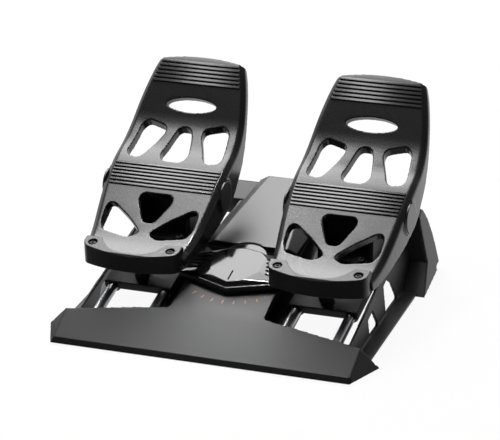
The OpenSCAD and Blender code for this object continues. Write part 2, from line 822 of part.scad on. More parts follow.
module cable_gland() color([0.08, 0.08, 0.08]) on_rails()
    translate([-gland_x, bridge_front + bridge_l - gland_l + over, 0]) difference() {
        union() {
            bar_y(gland_r, 0, gland_l);
            bar_y(gland_r - gland_nose_step, 0, gland_l + gland_nose_l);
        }
        bar_y(gland_hole_r, gland_l * 0.4, gland_l + gland_nose_l + over);
    }

// Side frames

module frame_wall(thick) {
    translate([frame_foot_x, 0, 0]) rotate([0, -atan(frame_rake_share), 0]) along_x(-thick, 0) polygon([
        [0, frame_lift], [leg_back_y, frame_lift],
        [leg_back_y, frame_top_z(leg_back_y)], [0, frame_top_z(0)]]);
}

// Height of the top edge of the side frames at a distance from the front edge
function frame_top_z(y) = rail_start_z + (y - rail_start_y) * tan(rail_tilt)
    + (deck_h - frame_drop) / cos(rail_tilt);

module side_frame(side) color([0.14, 0.14, 0.15]) bench() mirror([side < 0 ? 1 : 0, 0, 0]) difference() {
    union() {
        difference() {
            frame_wall(frame_t);
            for (w = [front_window_shares, rear_window_shares]) along_x(0, leg_half_w)
                polygon(rounded([for (q = w) frame_place(q[0] * leg_back_y, q[1])], frame_window_r));
        }
        translate([frame_foot_x - frame_t, 0, 0])
            cube([flange_half_w - frame_foot_x + frame_t, leg_front_y + flange_overlap, flange_t]);
    }
    translate([0, 0, -over]) linear_extrude(clear_l * 2) apron_plan(-seat);
    bridge_block();
    to_rails() translate([0, rail_front - over, -housing_r - over])
        cube([pedal_x + carriage_in_x + frame_clear, rail_back * 2, clear_l]);
}

// A place on the side frame, from its distance back and its share of the height there
function frame_place(y, share) = [y, share * frame_top_z(y)];

// The space that the rear bridge takes up, with a seat all round
module bridge_block() {
    along_x(wedge_in_x - seat, leg_half_w * 1.2) polygon([
        [leg_profile[0][0] - seat, -over], [leg_back_y * 2, -over],
        [leg_back_y * 2, clear_l * 2], [leg_profile[11][0] - seat, clear_l * 2],
        leg_profile[11] - [seat, -seat], [leg_profile[0][0] - seat, seat]]);
    along_x(0, leg_half_w * 1.2) polygon([[leg_profile[11][0] - seat, -over], [leg_back_y * 2, -over],
        [leg_back_y * 2, clear_l * 2], [leg_profile[11][0] - seat, clear_l * 2]]);
}

module guide_rails(side) color([0.5, 0.5, 0.52]) at_carriage(side) for (x = [-rail_x, rail_x])
    translate([x, 0, 0]) bar_y(rail_r, rail_front, rail_back);

// Feet

front_foot_inset = 25;
front_foot_x = apron_half_w - front_foot_inset;
front_foot_y = 20;
foot_inset = 15;
rear_foot_x = leg_half_w - foot_inset;
rear_foot_y = leg_front_y + foot_inset;
foot_sink = 1;
foot_places = [[-front_foot_x, front_foot_y], [0, front_foot_y], [front_foot_x, front_foot_y],
    [-rear_foot_x, rear_foot_y], [rear_foot_x, rear_foot_y]];

module foot_seats() for (p = foot_places) translate([p[0], p[1], -over])
    cylinder(r = foot_d / 2 + seat, h = over + foot_sink);

module rubber_feet() color([0.06, 0.06, 0.06]) bench() for (p = foot_places)
    translate([p[0], p[1], -foot_h]) cylinder(r = foot_d / 2, h = foot_h + foot_sink);

// Rocker and its bearing

module rocker_bearing() color([0.75, 0.73, 0.66]) at_rocker() difference() {
    union() {
        translate([0, 0, hub_boss_low])
            cylinder(r = rocker_shaft_d / 2 + bearing_wall, h = beam_top - hub_boss_low);
        translate([0, 0, beam_top]) cylinder(r = hub_boss_r, h = wall + bearing_flange_t);
    }
    translate([0, 0, hub_boss_low - over]) cylinder(r = rocker_shaft_d / 2 + running_fit, h = clear_l);
}

module arm_outline() {
    half = arm_tip_w / 2;
    for (side = [left, right]) mirror([side < 0 ? 1 : 0, 0, 0]) {
        polygon([[0, arm_w / 2], [arm_hub_r, arm_w * 0.44], [arm_waist, arm_waist_half],
            [drive_r - half, half], [arm_end - half, half], [arm_end - half, -half],
            [drive_r - half, -half], [arm_hub_r, -arm_w / 2], [0, -arm_w / 2]]);
        translate([arm_end - half, 0]) circle(r = half);
    }
    circle(r = arm_hub_r);
}

module drive_slots() for (side = [left, right]) mirror([side < 0 ? 1 : 0, 0, 0]) {
    half = drive_pin_d / 2 + drive_slot_fit;
    translate([drive_r - slot_in, -half]) square([slot_in + slot_out, 2 * half]);
    translate([drive_r - slot_in, 0]) circle(r = half);
    translate([drive_r + slot_out, 0]) circle(r = half);
}

module rocker_arm() color([0.35, 0.35, 0.37]) at_rocker() difference() {
    union() {
        translate([0, 0, arm_low]) linear_extrude(arm_t) difference() {
            arm_outline();
            drive_slots();
        }
        translate([0, 0, hub_boss_low - shaft_end])
            cylinder(r = rocker_shaft_d / 2, h = arm_low - hub_boss_low + shaft_end + over);
        translate([0, 0, board_n + 2 * sensor_floor]) cylinder(r = spigot_r, h = arm_low - board_n);
    }
    for (x = [-hood_screw_x, hood_screw_x]) translate([x, hood_screw_y, arm_low]) {
        translate([0, 0, -over]) cylinder(r = screw_r + screw_gap, h = clear_l);
        translate([0, 0, -over]) cylinder(r = screw_head_r + screw_gap, h = over + screw_head_h);
    }
}

module rocker_retainer() color([0.45, 0.45, 0.46]) at_rocker() difference() {
    translate([0, 0, hub_boss_low - retainer_t - retainer_gap]) cylinder(r = hub_boss_r, h = retainer_t);
    translate([0, 0, -clear_l]) cylinder(r = spigot_r + retainer_fit, h = clear_l);
    translate([0, 0, hub_boss_low - shaft_end - seat])
        cylinder(r = rocker_shaft_d / 2 + seat, h = clear_l);
}

module rudder_sensor() color([0.2, 0.3, 0.22]) at_rocker() difference() {
    translate([0, 0, board_n]) cylinder(r = sensor_body_r, h = sensor_body_h);
    translate([0, 0, board_n + sensor_floor]) cylinder(r = spigot_r + running_fit, h = clear_l);
}

module circuit_board() color([0.1, 0.35, 0.2]) on_rails() difference() {
    translate([-board_half_w, board_front, board_n - board_t])
        cube([2 * board_half_w, board_back - board_front, board_t]);
    for (x = [-board_half_w + post_inset, board_half_w - post_inset],
        u = [board_front + post_inset, board_back - post_inset]) translate([x, u, board_n - 2 * board_t])
            cylinder(r = screw_r, h = 3 * board_t);
}

module centering_spring() color([0.55, 0.55, 0.57]) at_rocker()
    translate([0, 0, hub_boss_low + spring_wire_r])
        coil(spring_coil_r, spring_wire_r, spring_turns, pitch_share * spring_wire_r);

// Hood over the rocker

// Block whose outline is a share of the hood's
module outline_pillar(shares, size, n, h) {
    half = [for (q = shares) [q[0] * hood_half_w * size, q[1] * hood_front_l * size]];
    translate([0, 0, n]) linear_extrude(h) polygon(concat(half, mirrored(half)));
}

module pointer_hood() color([0.08, 0.08, 0.09]) at_rocker() difference() {
    union() {
        hull() {
            outline_pillar(hood_low_shares, 1, hood_low, hood_lip_n - hood_low - 2 * hood_rim_t);
            outline_pillar(hood_low_shares, 0.965, hood_lip_n - hood_rim_t, hood_rim_t);
        }
        hull() {
            outline_pillar(hood_low_shares, 0.93, hood_lip_n - hood_rim_t, hood_rim_t);
            outline_pillar(hood_top_shares, 1, hood_top_n - hood_rim_t / 2, hood_rim_t / 2);
        }
        difference() {
            translate([0, 0, hood_low]) cylinder(r = hood_rear_r, h = hood_rear_top - hood_low);
            translate([-clear_l, -2 * clear_l, 0]) cube([2 * clear_l, 2 * clear_l, clear_l]);
        }
    }
    hood_hollow();
    hood_louvres();
}

// Space inside the hood for the rocker arm
module hood_hollow() {
    translate([-clear_l, -arm_w / 2 - over, 0])
        cube([2 * clear_l, arm_w + 2 * over, arm_low + arm_t + seat]);
    cylinder(r = arm_hub_r + over, h = arm_low + arm_t + seat);
    outline_pillar(hood_low_shares, 0.9, 0, arm_low + arm_t - hood_rim_t / 2);
    for (x = [-hood_screw_x, hood_screw_x]) translate([x, hood_screw_y, 0])
        cylinder(r = screw_r, h = arm_low + screw_head_h + hood_screw_l + seat);
}

module hood_louvres() both_sides() for (i = [0:louvre_n - 1])
    translate([louvre_in - louvre_step * i, louvre_pitch * i - louvre_front, hood_lip_n - louvre_deep])
        cube([clear_l, louvre_gap, clear_l]);

module hood_screws() color([0.2, 0.2, 0.21]) at_rocker() for (x = [-hood_screw_x, hood_screw_x])
    translate([x, hood_screw_y, arm_low]) mirror([0, 0, 1]) screw(hood_screw_l);

// Carriages

module carriage_section() {
    translate([-carriage_in_x, deck_h - deck_t]) square([carriage_w, deck_t]);
    for (x = [-rail_x, rail_x]) {
        translate([x, 0]) circle(r = housing_r);
        translate([x - housing_r, 0]) square([2 * housing_r, deck_h - over]);
    }
}

module carriage(side) color([0.12, 0.12, 0.13]) at_carriage(side) difference() {
    union() {
        intersection() {
            along_y(carriage_front + wall, carriage_back) carriage_section();
            translate([-carriage_in_x, carriage_front, -housing_r])
                cube([carriage_w, carriage_l, housing_r + deck_h]);
        }
        translate([-carriage_in_x, carriage_front, deck_h - carriage_edge_h])
            cube([carriage_w, wall, carriage_edge_h]);
        for (x = [-carriage_in_x, carriage_in_x - side_wall])
            translate([x, carriage_front, deck_h - carriage_edge_h])
            cube([side_wall, carriage_l, carriage_edge_h]);
        translate([0, stop_u, deck_h - carriage_edge_h])
            cylinder(r = stop_r + pin_boss_wall, h = carriage_edge_h);
        translate([-side * drive_pin_off, rocker_u, deck_h - carriage_edge_h])
            cylinder(r = pin_boss_r, h = carriage_edge_h);
    }
    for (x = [-rail_x, rail_x]) translate([x, 0, 0]) {
        bar_y(bush_out_r, carriage_front + wall, carriage_back + over);
        bar_y(rail_r + rail_gate, carriage_front - over, carriage_back);
    }
    translate([0, stop_u, -clear_l]) cylinder(r = stop_stem_r, h = 2 * clear_l);
    translate([-side * drive_pin_off, rocker_u, -clear_l]) cylinder(r = drive_pin_d / 2, h = 2 * clear_l);
    pillar_screw_places() translate([0, 0, -clear_l]) cylinder(r = screw_r, h = 2 * clear_l);
}

module slide_bushes(side) color([0.85, 0.83, 0.76]) at_carriage(side) for (x = [-rail_x, rail_x],
    u = [carriage_front + wall, carriage_back - bush_l]) translate([x, u, 0]) difference() {
        bar_y(bush_out_r, 0, bush_l);
        bar_y(rail_r + running_fit, -over, bush_l + over);
    }

module drive_pin(side) color([0.6, 0.6, 0.62]) at_carriage(side)
    translate([-side * drive_pin_off, rocker_u, deck_h - carriage_edge_h])
        cylinder(r = drive_pin_d / 2, h = drive_pin_top - deck_h + carriage_edge_h);

module heel_stop(side) color([0.07, 0.07, 0.07]) at_carriage(side) translate([0, stop_u, 0]) {
    translate([0, 0, deck_h]) difference() {
        cylinder(r = stop_r, h = clear_l);
        stop_trim(side);
    }
    translate([0, 0, deck_h - carriage_edge_h - stop_nut_h])
        cylinder(r = stop_stem_r, h = carriage_edge_h + stop_nut_h);
    translate([0, 0, deck_h - carriage_edge_h - stop_nut_h])
        cylinder(r = stop_nut_r, h = stop_nut_h, $fn = 6);
}

// The stop post ends just under the floor of the heel rest
module stop_trim(side) {
    floor_n = stop_top - deck_h;
    translate([0, 0, floor_n]) rotate([-rail_tilt, 0, 0]) translate([-clear_l, -clear_l, 0])
        cube([2 * clear_l, 2 * clear_l, clear_l]);
}

// Height of the underside of the heel rest over the stop, above the rail centres
stop_top = (axle_z - cup_low - rail_start_z - stop_u * sin(rail_tilt) - seat) / cos(rail_tilt);

// Pillar

module pillar_screw_places()
    for (x = [-pillar_screw_x, pillar_screw_x], u = [pillar_screw_u_a, pillar_screw_u_b])
    translate([x, u, 0]) children();

module pillar_side_profile() {
    polygon([[pillar_foot_front, deck_h], [pillar_foot_back, deck_h],
        [axle_u + pillar_top_r * 0.98, axle_h + pillar_top_r * 0.18],
        [axle_u - pillar_top_r * 0.96, axle_h + pillar_top_r * 0.27]]);
    translate([axle_u, axle_h]) circle(r = pillar_top_r);
}

module pivot_pillar(side) color([0.17, 0.17, 0.18]) at_carriage(side) difference() {
    union() {
        for (x = [-pillar_half_w, pillar_half_w - pillar_t]) along_x(x, x + pillar_t)
            pillar_side_profile();
        translate([-pillar_half_w, pillar_foot_front, deck_h])
            cube([2 * pillar_half_w, pillar_foot_back - pillar_foot_front, pillar_foot_t]);
        translate([-pillar_half_w, pillar_web_u, deck_h])
            cube([2 * pillar_half_w, pillar_t, axle_h - deck_h - pillar_web_gap]);
        translate([0, axle_u, axle_h])
            bar_x(spring_post_r, pillar_half_w - over, pillar_half_w + spring_post_l);
        translate([0, axle_u, axle_h])
            bar_x(spring_post_r, -pillar_half_w - spring_post_l, -pillar_half_w + over);
    }
    translate([0, axle_u, axle_h]) bar_x(axle_d / 2 + seat, -clear_l, clear_l);
    pillar_screw_places() cylinder(r = screw_r + screw_gap, h = deck_h + 2 * pillar_foot_t);
}

module pillar_screws(side) color([0.3, 0.3, 0.31]) at_carriage(side)
    pillar_screw_places() translate([0, 0, deck_h + pillar_foot_t + screw_head_h])
        screw(pillar_foot_t + deck_t);

module brake_axle(side) color([0.62, 0.62, 0.64]) at_axle(side)
    bar_x(axle_d / 2, -hub_out + cap_recess + axle_end_gap, hub_out - cap_recess - axle_end_gap);

module brake_spring(side) color([0.55, 0.55, 0.57]) at_axle(side)
    translate([pillar_half_w + brake_wire_r + coil_gap, 0, 0]) rotate([0, 90, 0])
        coil(brake_coil_r, brake_wire_r, brake_turns, pitch_share * brake_wire_r);

module brake_sensor(side) color([0.2, 0.3, 0.22]) at_axle(side) difference() {
    union() {
        bar_x(sensor_r, -pillar_half_w - sensor_l - seat, -pillar_half_w - seat);
        translate([-pillar_half_w - sensor_l - seat, -sensor_r / 2, -sensor_r - sensor_lug])
            cube([sensor_l, sensor_r, 2 * sensor_lug]);
    }
    bar_x(spring_post_r + seat, -clear_l, clear_l);
}

// Pedals

module window_cut(p, s) on_tread(s) translate([0, 0, -rim_d * 2]) linear_extrude(rim_d * 4)
    polygon(rounded([for (q = p) [q[0], q[1] - s]], window_r));

module window_rim(p, s) on_tread(s) translate([0, 0, -rim_d * 2]) linear_extrude(rim_d * 4)
    polygon(rounded(grown([for (q = p) [q[0], q[1] - s]], rim_w), window_r + rim_w));

// Outline moved out from its own middle by about the given amount
function grown(p, w) = let (c = [for (i = [0:1]) (max([for (q = p) q[i]]) + min([for (q = p) q[i]])) / 2])
    [for (q = p) q + unit(q - c) * w * 1.2];

function flipped(p) = [for (i = [len(p) - 1:-1:0]) [-p[i][0], p[i][1]]];

oval_s = tread_l * oval_share;
low_s = tread_l * low_share;
top_s = tread_l * top_share;
oval = [for (a = [0:20:340])
    [oval_half_w * cos(a), oval_s + oval_half_l * sin(a) * (1 - oval_pinch_share * pow(cos(a), 2))]];
low_side_window = on_size(low_side_window_shares);
low_mid_window = on_size(low_mid_window_shares);
top_side_window = on_size(top_side_window_shares);
top_mid_window = on_size(top_mid_window_shares);

// Outline from its shares of the tread's half width and length
function on_size(shares) = [for (q = shares) [q[0] * tread_half_w, q[1] * tread_l]];

module all_windows(rim) {
    if (rim) {
        for (p = [low_side_window, flipped(low_side_window), low_mid_window]) window_rim(p, low_s);
        for (p = [top_side_window, flipped(top_side_window), top_mid_window]) window_rim(p, top_s);
        on_tread(oval_s) translate([0, 0, -rim_d * 2]) linear_extrude(rim_d * 4)
            polygon(grown([for (q = oval) [q[0], q[1] - oval_s]], rim_w));
    } else {
        for (p = [low_side_window, flipped(low_side_window), low_mid_window]) window_cut(p, low_s);
        for (p = [top_side_window, flipped(top_side_window), top_mid_window]) window_cut(p, top_s);
        on_tread(oval_s) translate([0, 0, -rim_d * 2]) linear_extrude(rim_d * 4)
            polygon([for (q = oval) [q[0], q[1] - oval_s]]);
    }
}

// Ribs that stiffen the toe from below: two across, and two along that join them to the toe edge
module toe_ribs() {
    for (q = toe_rib_shares) on_tread(q * tread_l) translate([-tread_half_w, -toe_rib_t / 2, -2 * rim_d])
        cube([2 * tread_half_w, toe_rib_t, 3 * rim_d]);
    from = toe_rib_shares[0] * tread_l;
    for (x = [-1, 1] * toe_rib_side_share * tread_half_w) on_tread(from)
        translate([x - toe_rib_t / 2, 0, -2 * rim_d])
        cube([toe_rib_t, tread_l - from - toe_bow, 3 * rim_d]);
}

// Ridges across the tread
module ridges(first, n) for (i = [0:n - 1]) {
    s = first + ridge_pitch * i;
    x = tread_half(s) - ridge_margin;
    on_tread(s) translate([0, 0, -ridge_sink]) bar_x(ridge_r, -x, x, $fn = 8);
}

module pedal(side) color([0.2, 0.2, 0.21]) at_heel(side) difference() {
    union() {
        difference() {
            union() {
                difference() {
                    skin([for (s = stations(0, tread_l, 34)) tread_section(s, 0, skirt_d(s))]);
                    skin([for (s = stations(-over, tread_l - pedal_wall, 34))
                        tread_section(s, pedal_wall, skirt_d(s) + 2 * pedal_wall)]);
                }
                intersection() {
                    skin([for (s = stations(0, tread_l, 34)) tread_section(s, 0, rim_d)]);
                    union() {
                        all_windows(true);
                        toe_ribs();
                    }
                }
            }
            all_windows(false);
            heel_cut();
        }
        ridges(mid_ridge_s, mid_ridges);
        ridges(toe_ridge_s, toe_ridges);
        translate([0, heel_back, heel_low]) {
            bar_x(hub_r, hub_in, hub_out);
            bar_x(hub_r, -hub_out, -hub_in);
        }
    }
    translate([0, heel_back, heel_low]) {
        bar_x(pivot_bush_r, -hub_out - over, hub_out + over);
        bar_x(cap_d / 2 + seat, hub_out - cap_recess, hub_out + over);
        bar_x(cap_d / 2 + seat, -hub_out - over, -hub_out + cap_recess);
    }
    for (x = [-heel_screw_x, heel_screw_x]) translate([x, heel_screw_back, -clear_l])
        cylinder(r = screw_r, h = 2 * clear_l);
}

// The heel of the tread is a narrow flat tongue inside the heel rest
module heel_cut() {
    w = tread_half_w * 2;
    translate([0, 0, -clear_l]) linear_extrude(2 * clear_l) difference() {
        translate([-w, -w]) square([2 * w, w + cup_skirt_back + seat]);
        cup_plan(clear_l, cup_wall + seat);
    }
    rotate([heel_angle, 0, 0]) translate([-w, -over, -clear_l - pedal_wall])
        cube([2 * w, cup_skirt_back + over, clear_l]);
}

// Heel rest

// Plan of the heel rest, shrunk by the given amount
module cup_plan(back, inset = 0) {
    lean = asin((cup_half_w - cup_corner_r) / (cup_bow_r - cup_corner_r));
    bow = cup_bow_r - inset;
    corner = cup_corner_r - inset;
    edge = arc([0, cup_bow_r - cup_front], bow, -90 - lean, -90 + lean, 18);
    corner_y = cup_bow_r - cup_front - (cup_bow_r - cup_corner_r) * cos(lean);
    side = arc([cup_half_w - cup_corner_r, corner_y], corner, -90 + lean, 0, 6);
    polygon(concat(edge, side, [[cup_half_w - inset, back], [-cup_half_w + inset, back]],
        [for (i = [6:-1:0]) [-side[i][0], side[i][1]]]));
}

module heel_rest(side) color([0.1, 0.1, 0.11]) at_heel(side) difference() {
    union() {
        difference() {
            intersection() {
                translate([0, 0, heel_low - cup_low]) linear_extrude(clear_l) cup_plan(cup_ear_back);
                cup_side_view(cup_ear_back);
            }
            difference() {
                translate([-clear_l, cup_skirt_back, -clear_l]) cube(2 * clear_l);
                rotate([heel_angle, 0, 0]) translate([-2 * clear_l, -clear_l, seat]) cube(4 * clear_l);
            }
        }
        translate([0, 0, heel_low - cup_low]) linear_extrude(cup_floor_t)
            cup_plan(cup_floor_back, cup_wall);
    }
    // Hollow for the heel tongue of the pedal
    difference() {
        translate([0, 0, heel_low - cup_low + cup_floor_t]) linear_extrude(clear_l)
            cup_plan(clear_l, cup_wall);
        rotate([heel_angle, 0, 0]) translate([-clear_l, -clear_l, seat])
            cube([2 * clear_l, 3 * clear_l, clear_l]);
    }
    // The rim is open towards the sole
    translate([0, 0, -crescent_deep]) linear_extrude(clear_l) polygon(crescent_outline());
    for (x = [-heel_screw_x, heel_screw_x]) translate([x, heel_screw_back, 0]) {
        translate([0, 0, rim_top(heel_screw_back) - screw_head_h - recess_d])
            cylinder(r = screw_head_r + recess_gap, h = clear_l);
        translate([0, 0, -clear_l]) cylinder(r = screw_r + screw_gap, h = 2 * clear_l);
    }
}

function crescent_outline() = concat(
    [for (q = crescent_shares) [q[0] * crescent_half_w, q[1] * crescent_l]],
    [[clear_l / 2, clear_l], [-clear_l / 2, clear_l]]);

// Height of the rim of the heel rest, at a distance back from the heel of the tread
function rim_top(y) = cup_rim_h + y * tan(cup_rim_angle);

module cup_side_view(back) along_x(-clear_l, clear_l)
    polygon([[-cup_front - over, -clear_l], [back, -clear_l],
        [back, rim_top(back) - cup_edge_r], [back - cup_edge_r, rim_top(back - cup_edge_r)],
        [-cup_front + cup_lip_r, rim_top(-cup_front + cup_lip_r)],
        [-cup_front, rim_top(-cup_front) - cup_lip_r * 0.8],
        [-cup_front - over, rim_top(-cup_front) - cup_lip_r * 2]]);

module heel_screws(side) color([0.05, 0.05, 0.05]) at_heel(side) for (x = [-heel_screw_x, heel_screw_x])
    translate([x, heel_screw_back, rim_top(heel_screw_back) - recess_d])
        screw(heel_screw_l + heel_screw_grip);

module pivot_bushes(side) color([0.85, 0.83, 0.76]) at_axle(side) for (k = [left, right])
    mirror([k < 0 ? 1 : 0, 0, 0])
    difference() {
        bar_x(pivot_bush_r, hub_out - cap_recess - pivot_bush_l, hub_out - cap_recess);
        bar_x(axle_d / 2 + running_fit, hub_in - over, hub_out - cap_recess - bush_end_t);
    }

module pivot_caps(side) color([0.22, 0.22, 0.23]) at_axle(side) for (k = [left, right])
    mirror([k < 0 ? 1 : 0, 0, 0])
    bar_x(cap_d / 2, hub_out - cap_recess, hub_out - cap_recess + cap_t);

front_cover();
center_beam();
spine_cover();
rear_bridge();
side_frame(left);  // side_frame_left
side_frame(right);  // side_frame_right
guide_rails(left);  // guide_rails_left
guide_rails(right);  // guide_rails_right
bottom_cover();
bottom_screws();
rubber_feet();
cable_gland();
rocker_bearing();
rudder_sensor();
circuit_board();
centering_spring();
rocker_arm();
rocker_retainer();
pointer_hood();
hood_screws();
scale_marks();
carriage(left);  // carriage_left
carriage(right);  // carriage_right
slide_bushes(left);  // slide_bushes_left
slide_bushes(right);  // slide_bushes_right
drive_pin(left);  // drive_pin_left
drive_pin(right);  // drive_pin_right
pivot_pillar(left);  // pivot_pillar_left
pivot_pillar(right);  // pivot_pillar_right
pillar_screws(left);  // pillar_screws_left
pillar_screws(right);  // pillar_screws_right
brake_axle(left);  // brake_axle_left
brake_axle(right);  // brake_axle_right
brake_spring(left);  // brake_spring_left
brake_spring(right);  // brake_spring_right
brake_sensor(left);  // brake_sensor_left
brake_sensor(right);  // brake_sensor_right
heel_stop(left);  // heel_stop_left
heel_stop(right);  // heel_stop_right
pedal(left);  // pedal_left
pedal(right);  // pedal_right
heel_rest(left);  // heel_rest_left
heel_rest(right);  // heel_rest_right
heel_screws(left);  // heel_screws_left
heel_screws(right);  // heel_screws_right
pivot_bushes(left);  // pivot_bushes_left
pivot_bushes(right);  // pivot_bushes_right
pivot_caps(left);  // pivot_caps_left
pivot_caps(right);  // pivot_caps_right
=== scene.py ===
import json
import math

import bmesh
import bpy
from mathutils import Matrix, Vector

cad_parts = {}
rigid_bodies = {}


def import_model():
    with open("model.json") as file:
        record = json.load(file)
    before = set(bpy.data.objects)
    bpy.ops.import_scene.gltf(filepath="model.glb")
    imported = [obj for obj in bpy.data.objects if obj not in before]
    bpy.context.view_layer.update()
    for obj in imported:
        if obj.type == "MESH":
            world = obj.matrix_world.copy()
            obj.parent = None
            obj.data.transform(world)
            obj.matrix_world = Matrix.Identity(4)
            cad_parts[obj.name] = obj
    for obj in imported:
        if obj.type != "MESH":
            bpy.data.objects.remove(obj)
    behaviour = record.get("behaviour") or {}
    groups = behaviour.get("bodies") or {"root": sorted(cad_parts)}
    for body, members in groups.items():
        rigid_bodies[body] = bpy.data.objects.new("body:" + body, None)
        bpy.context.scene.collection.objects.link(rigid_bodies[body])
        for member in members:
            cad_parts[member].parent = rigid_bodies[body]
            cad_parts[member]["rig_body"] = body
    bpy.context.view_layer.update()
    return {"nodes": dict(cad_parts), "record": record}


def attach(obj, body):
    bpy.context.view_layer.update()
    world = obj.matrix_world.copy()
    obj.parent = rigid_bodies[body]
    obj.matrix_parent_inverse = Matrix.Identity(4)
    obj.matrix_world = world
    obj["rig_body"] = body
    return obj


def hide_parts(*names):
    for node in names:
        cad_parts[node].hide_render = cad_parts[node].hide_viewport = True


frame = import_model()
nodes = frame["nodes"]
mm = 0.001
slots = {part["node"]: part["material_slot"] for part in frame["record"]["subparts"]}


# Camera, at the photograph's place: place and clip in metres, angles in degrees, lens and sensor in mm
cameraSettings = {
    "place": (0.81522, -2.076239, 1.105198), "turn": 21.3567, "drop": 24.6531, "roll": -2.2984,
    "lens": 192.475, "sensor": 36.0, "clip": 20.0,
}


def makeCamera(s):
    turn, drop, roll = (math.radians(s[key]) for key in ("turn", "drop", "roll"))
    right = Vector((math.cos(turn), math.sin(turn), 0))
    back = Vector((math.sin(turn) * math.cos(drop), -math.cos(turn) * math.cos(drop), math.sin(drop)))
    up = back.cross(right)
    across = right * math.cos(roll) + up * math.sin(roll)
    upward = up * math.cos(roll) - right * math.sin(roll)
    camera = bpy.data.objects.new("camera", bpy.data.cameras.new("camera"))
    camera.data.sensor_width = s["sensor"]
    camera.data.lens = s["lens"]
    camera.data.clip_end = s["clip"]
    turned = Matrix((across, upward, back)).transposed().to_4x4()
    camera.matrix_world = Matrix.Translation(s["place"]) @ turned
    bpy.context.scene.collection.objects.link(camera)
    bpy.context.scene.camera = camera


makeCamera(cameraSettings)
bpy.context.scene.view_settings.view_transform = "Standard"
print("camera set")


def linearColour(hexText):
    values = [int(hexText[i:i + 2], 16) / 255 for i in (0, 2, 4)]
    return [v / 12.92 if v <= 0.04045 else ((v + 0.055) / 1.055) ** 2.4 for v in values] + [1]


# Adds a node: settings go to its sockets, by name or number, or to its options; links name its sources
def addNode(tree, kind, settings=None, links=None):
    node = tree.nodes.new(kind)
    for key, value in (settings or {}).items():
        if isinstance(key, int) or key in node.inputs:
            node.inputs[key].default_value = value
        else:
            setattr(node, key, value)
    for key, source in (links or {}).items():
        tree.links.new(source, node.inputs[key])
    return node


def newMaterial(name):
    material = bpy.data.materials.new(name)
    material.use_nodes = True
    material.node_tree.nodes.clear()
    return material, material.node_tree


# Studio: a white sweep behind and below, dark in front and to the right, with one large softbox behind,
# one overhead, and a narrow spot on the apron
studioSettings = {
    "frontLevel": 0.1, "backLevel": 0.8, "frontY": -0.5, "backY": 0.85,  # room light, by direction in y
    "darkSide": 0.3, "sideStart": 0.1, "sideEnd": 0.55,  # its share left on the right, by direction in x
    "sweepTop": 0.55, "sweepBlend": 0.2, "sweepEdge": 0.3,  # the sweep in mirrors, by direction in z and y
    "floorSize": 6.0, "floorColour": "f2f2f2", "floorLift": 0.93,
    "darkPaper": "484848", "darkFront": -0.11, "darkBlend": 0.12,  # paper seen in mirrors, y in metres
    "lamps": {
        # name: place and target in metres, width, height, watts, spread in degrees
        "rearSoftbox": ((-0.62, 1.06, 1.52), (0, 0, 0.08), 1.0, 1.15, 29, 180),
        "overheadSoftbox": ((-0.52, 0.08, 1.62), (0, 0, 0.1), 0.62, 0.5, 8.5, 180),
        "apronSpot": ((-0.07, 0.09, 0.78), (0, -0.09, 0.025), 0.12, 0.12, 0.08, 14),
    },
}


def makeWorld(s):
    world = bpy.data.worlds.new("studio")
    bpy.context.scene.world = world
    world.use_nodes = True
    tree = world.node_tree
    tree.nodes.clear()
    path = addNode(tree, "ShaderNodeLightPath")
    direction = addNode(tree, "ShaderNodeTexCoord")
    axes = addNode(tree, "ShaderNodeSeparateXYZ", None, {0: direction.outputs["Generated"]})
    depth = addNode(tree, "ShaderNodeMapRange",
                    {"From Min": s["frontY"], "From Max": s["backY"],
                     "To Min": s["frontLevel"], "To Max": s["backLevel"]}, {"Value": axes.outputs["Y"]})
    side = addNode(tree, "ShaderNodeMapRange",
                   {"From Min": s["sideStart"], "From Max": s["sideEnd"], "To Min": 1,
                    "To Max": s["darkSide"]}, {"Value": axes.outputs["X"]})
    level = addNode(tree, "ShaderNodeMath", {"operation": "MULTIPLY"},
                    {0: depth.outputs[0], 1: side.outputs[0]})
    # What mirrors see: the white sweep stands behind the object, up to sweepTop
    low = addNode(tree, "ShaderNodeMapRange",
                  {"From Min": s["sweepTop"], "From Max": s["sweepTop"] - s["sweepBlend"]},
                  {"Value": axes.outputs["Z"]})
    behind = addNode(tree, "ShaderNodeMapRange", {"From Min": 0, "From Max": s["sweepEdge"]},
                     {"Value": axes.outputs["Y"]})
    sweep = addNode(tree, "ShaderNodeMath", {"operation": "MULTIPLY"},
                    {0: low.outputs[0], 1: behind.outputs[0]})
    mirrored = addNode(tree, "ShaderNodeMath", {"operation": "MAXIMUM"},
                       {0: path.outputs["Is Glossy Ray"], 1: path.outputs["Is Transmission Ray"]})
    seen = addNode(tree, "ShaderNodeMath", {"operation": "MULTIPLY"},
                   {0: sweep.outputs[0], 1: mirrored.outputs[0]})
    shown = addNode(tree, "ShaderNodeMath", {"operation": "MAXIMUM"},
                    {0: path.outputs["Is Camera Ray"], 1: seen.outputs[0]})
    room = addNode(tree, "ShaderNodeBackground", {"Color": (1, 1, 1, 1)}, {"Strength": level.outputs[0]})
    white = addNode(tree, "ShaderNodeBackground", {"Color": (1, 1, 1, 1), "Strength": 1.0})
    mix = addNode(tree, "ShaderNodeMixShader", None,
                  {0: shown.outputs[0], 1: room.outputs[0], 2: white.outputs[0]})
    addNode(tree, "ShaderNodeOutputWorld", None, {"Surface": mix.outputs[0]})


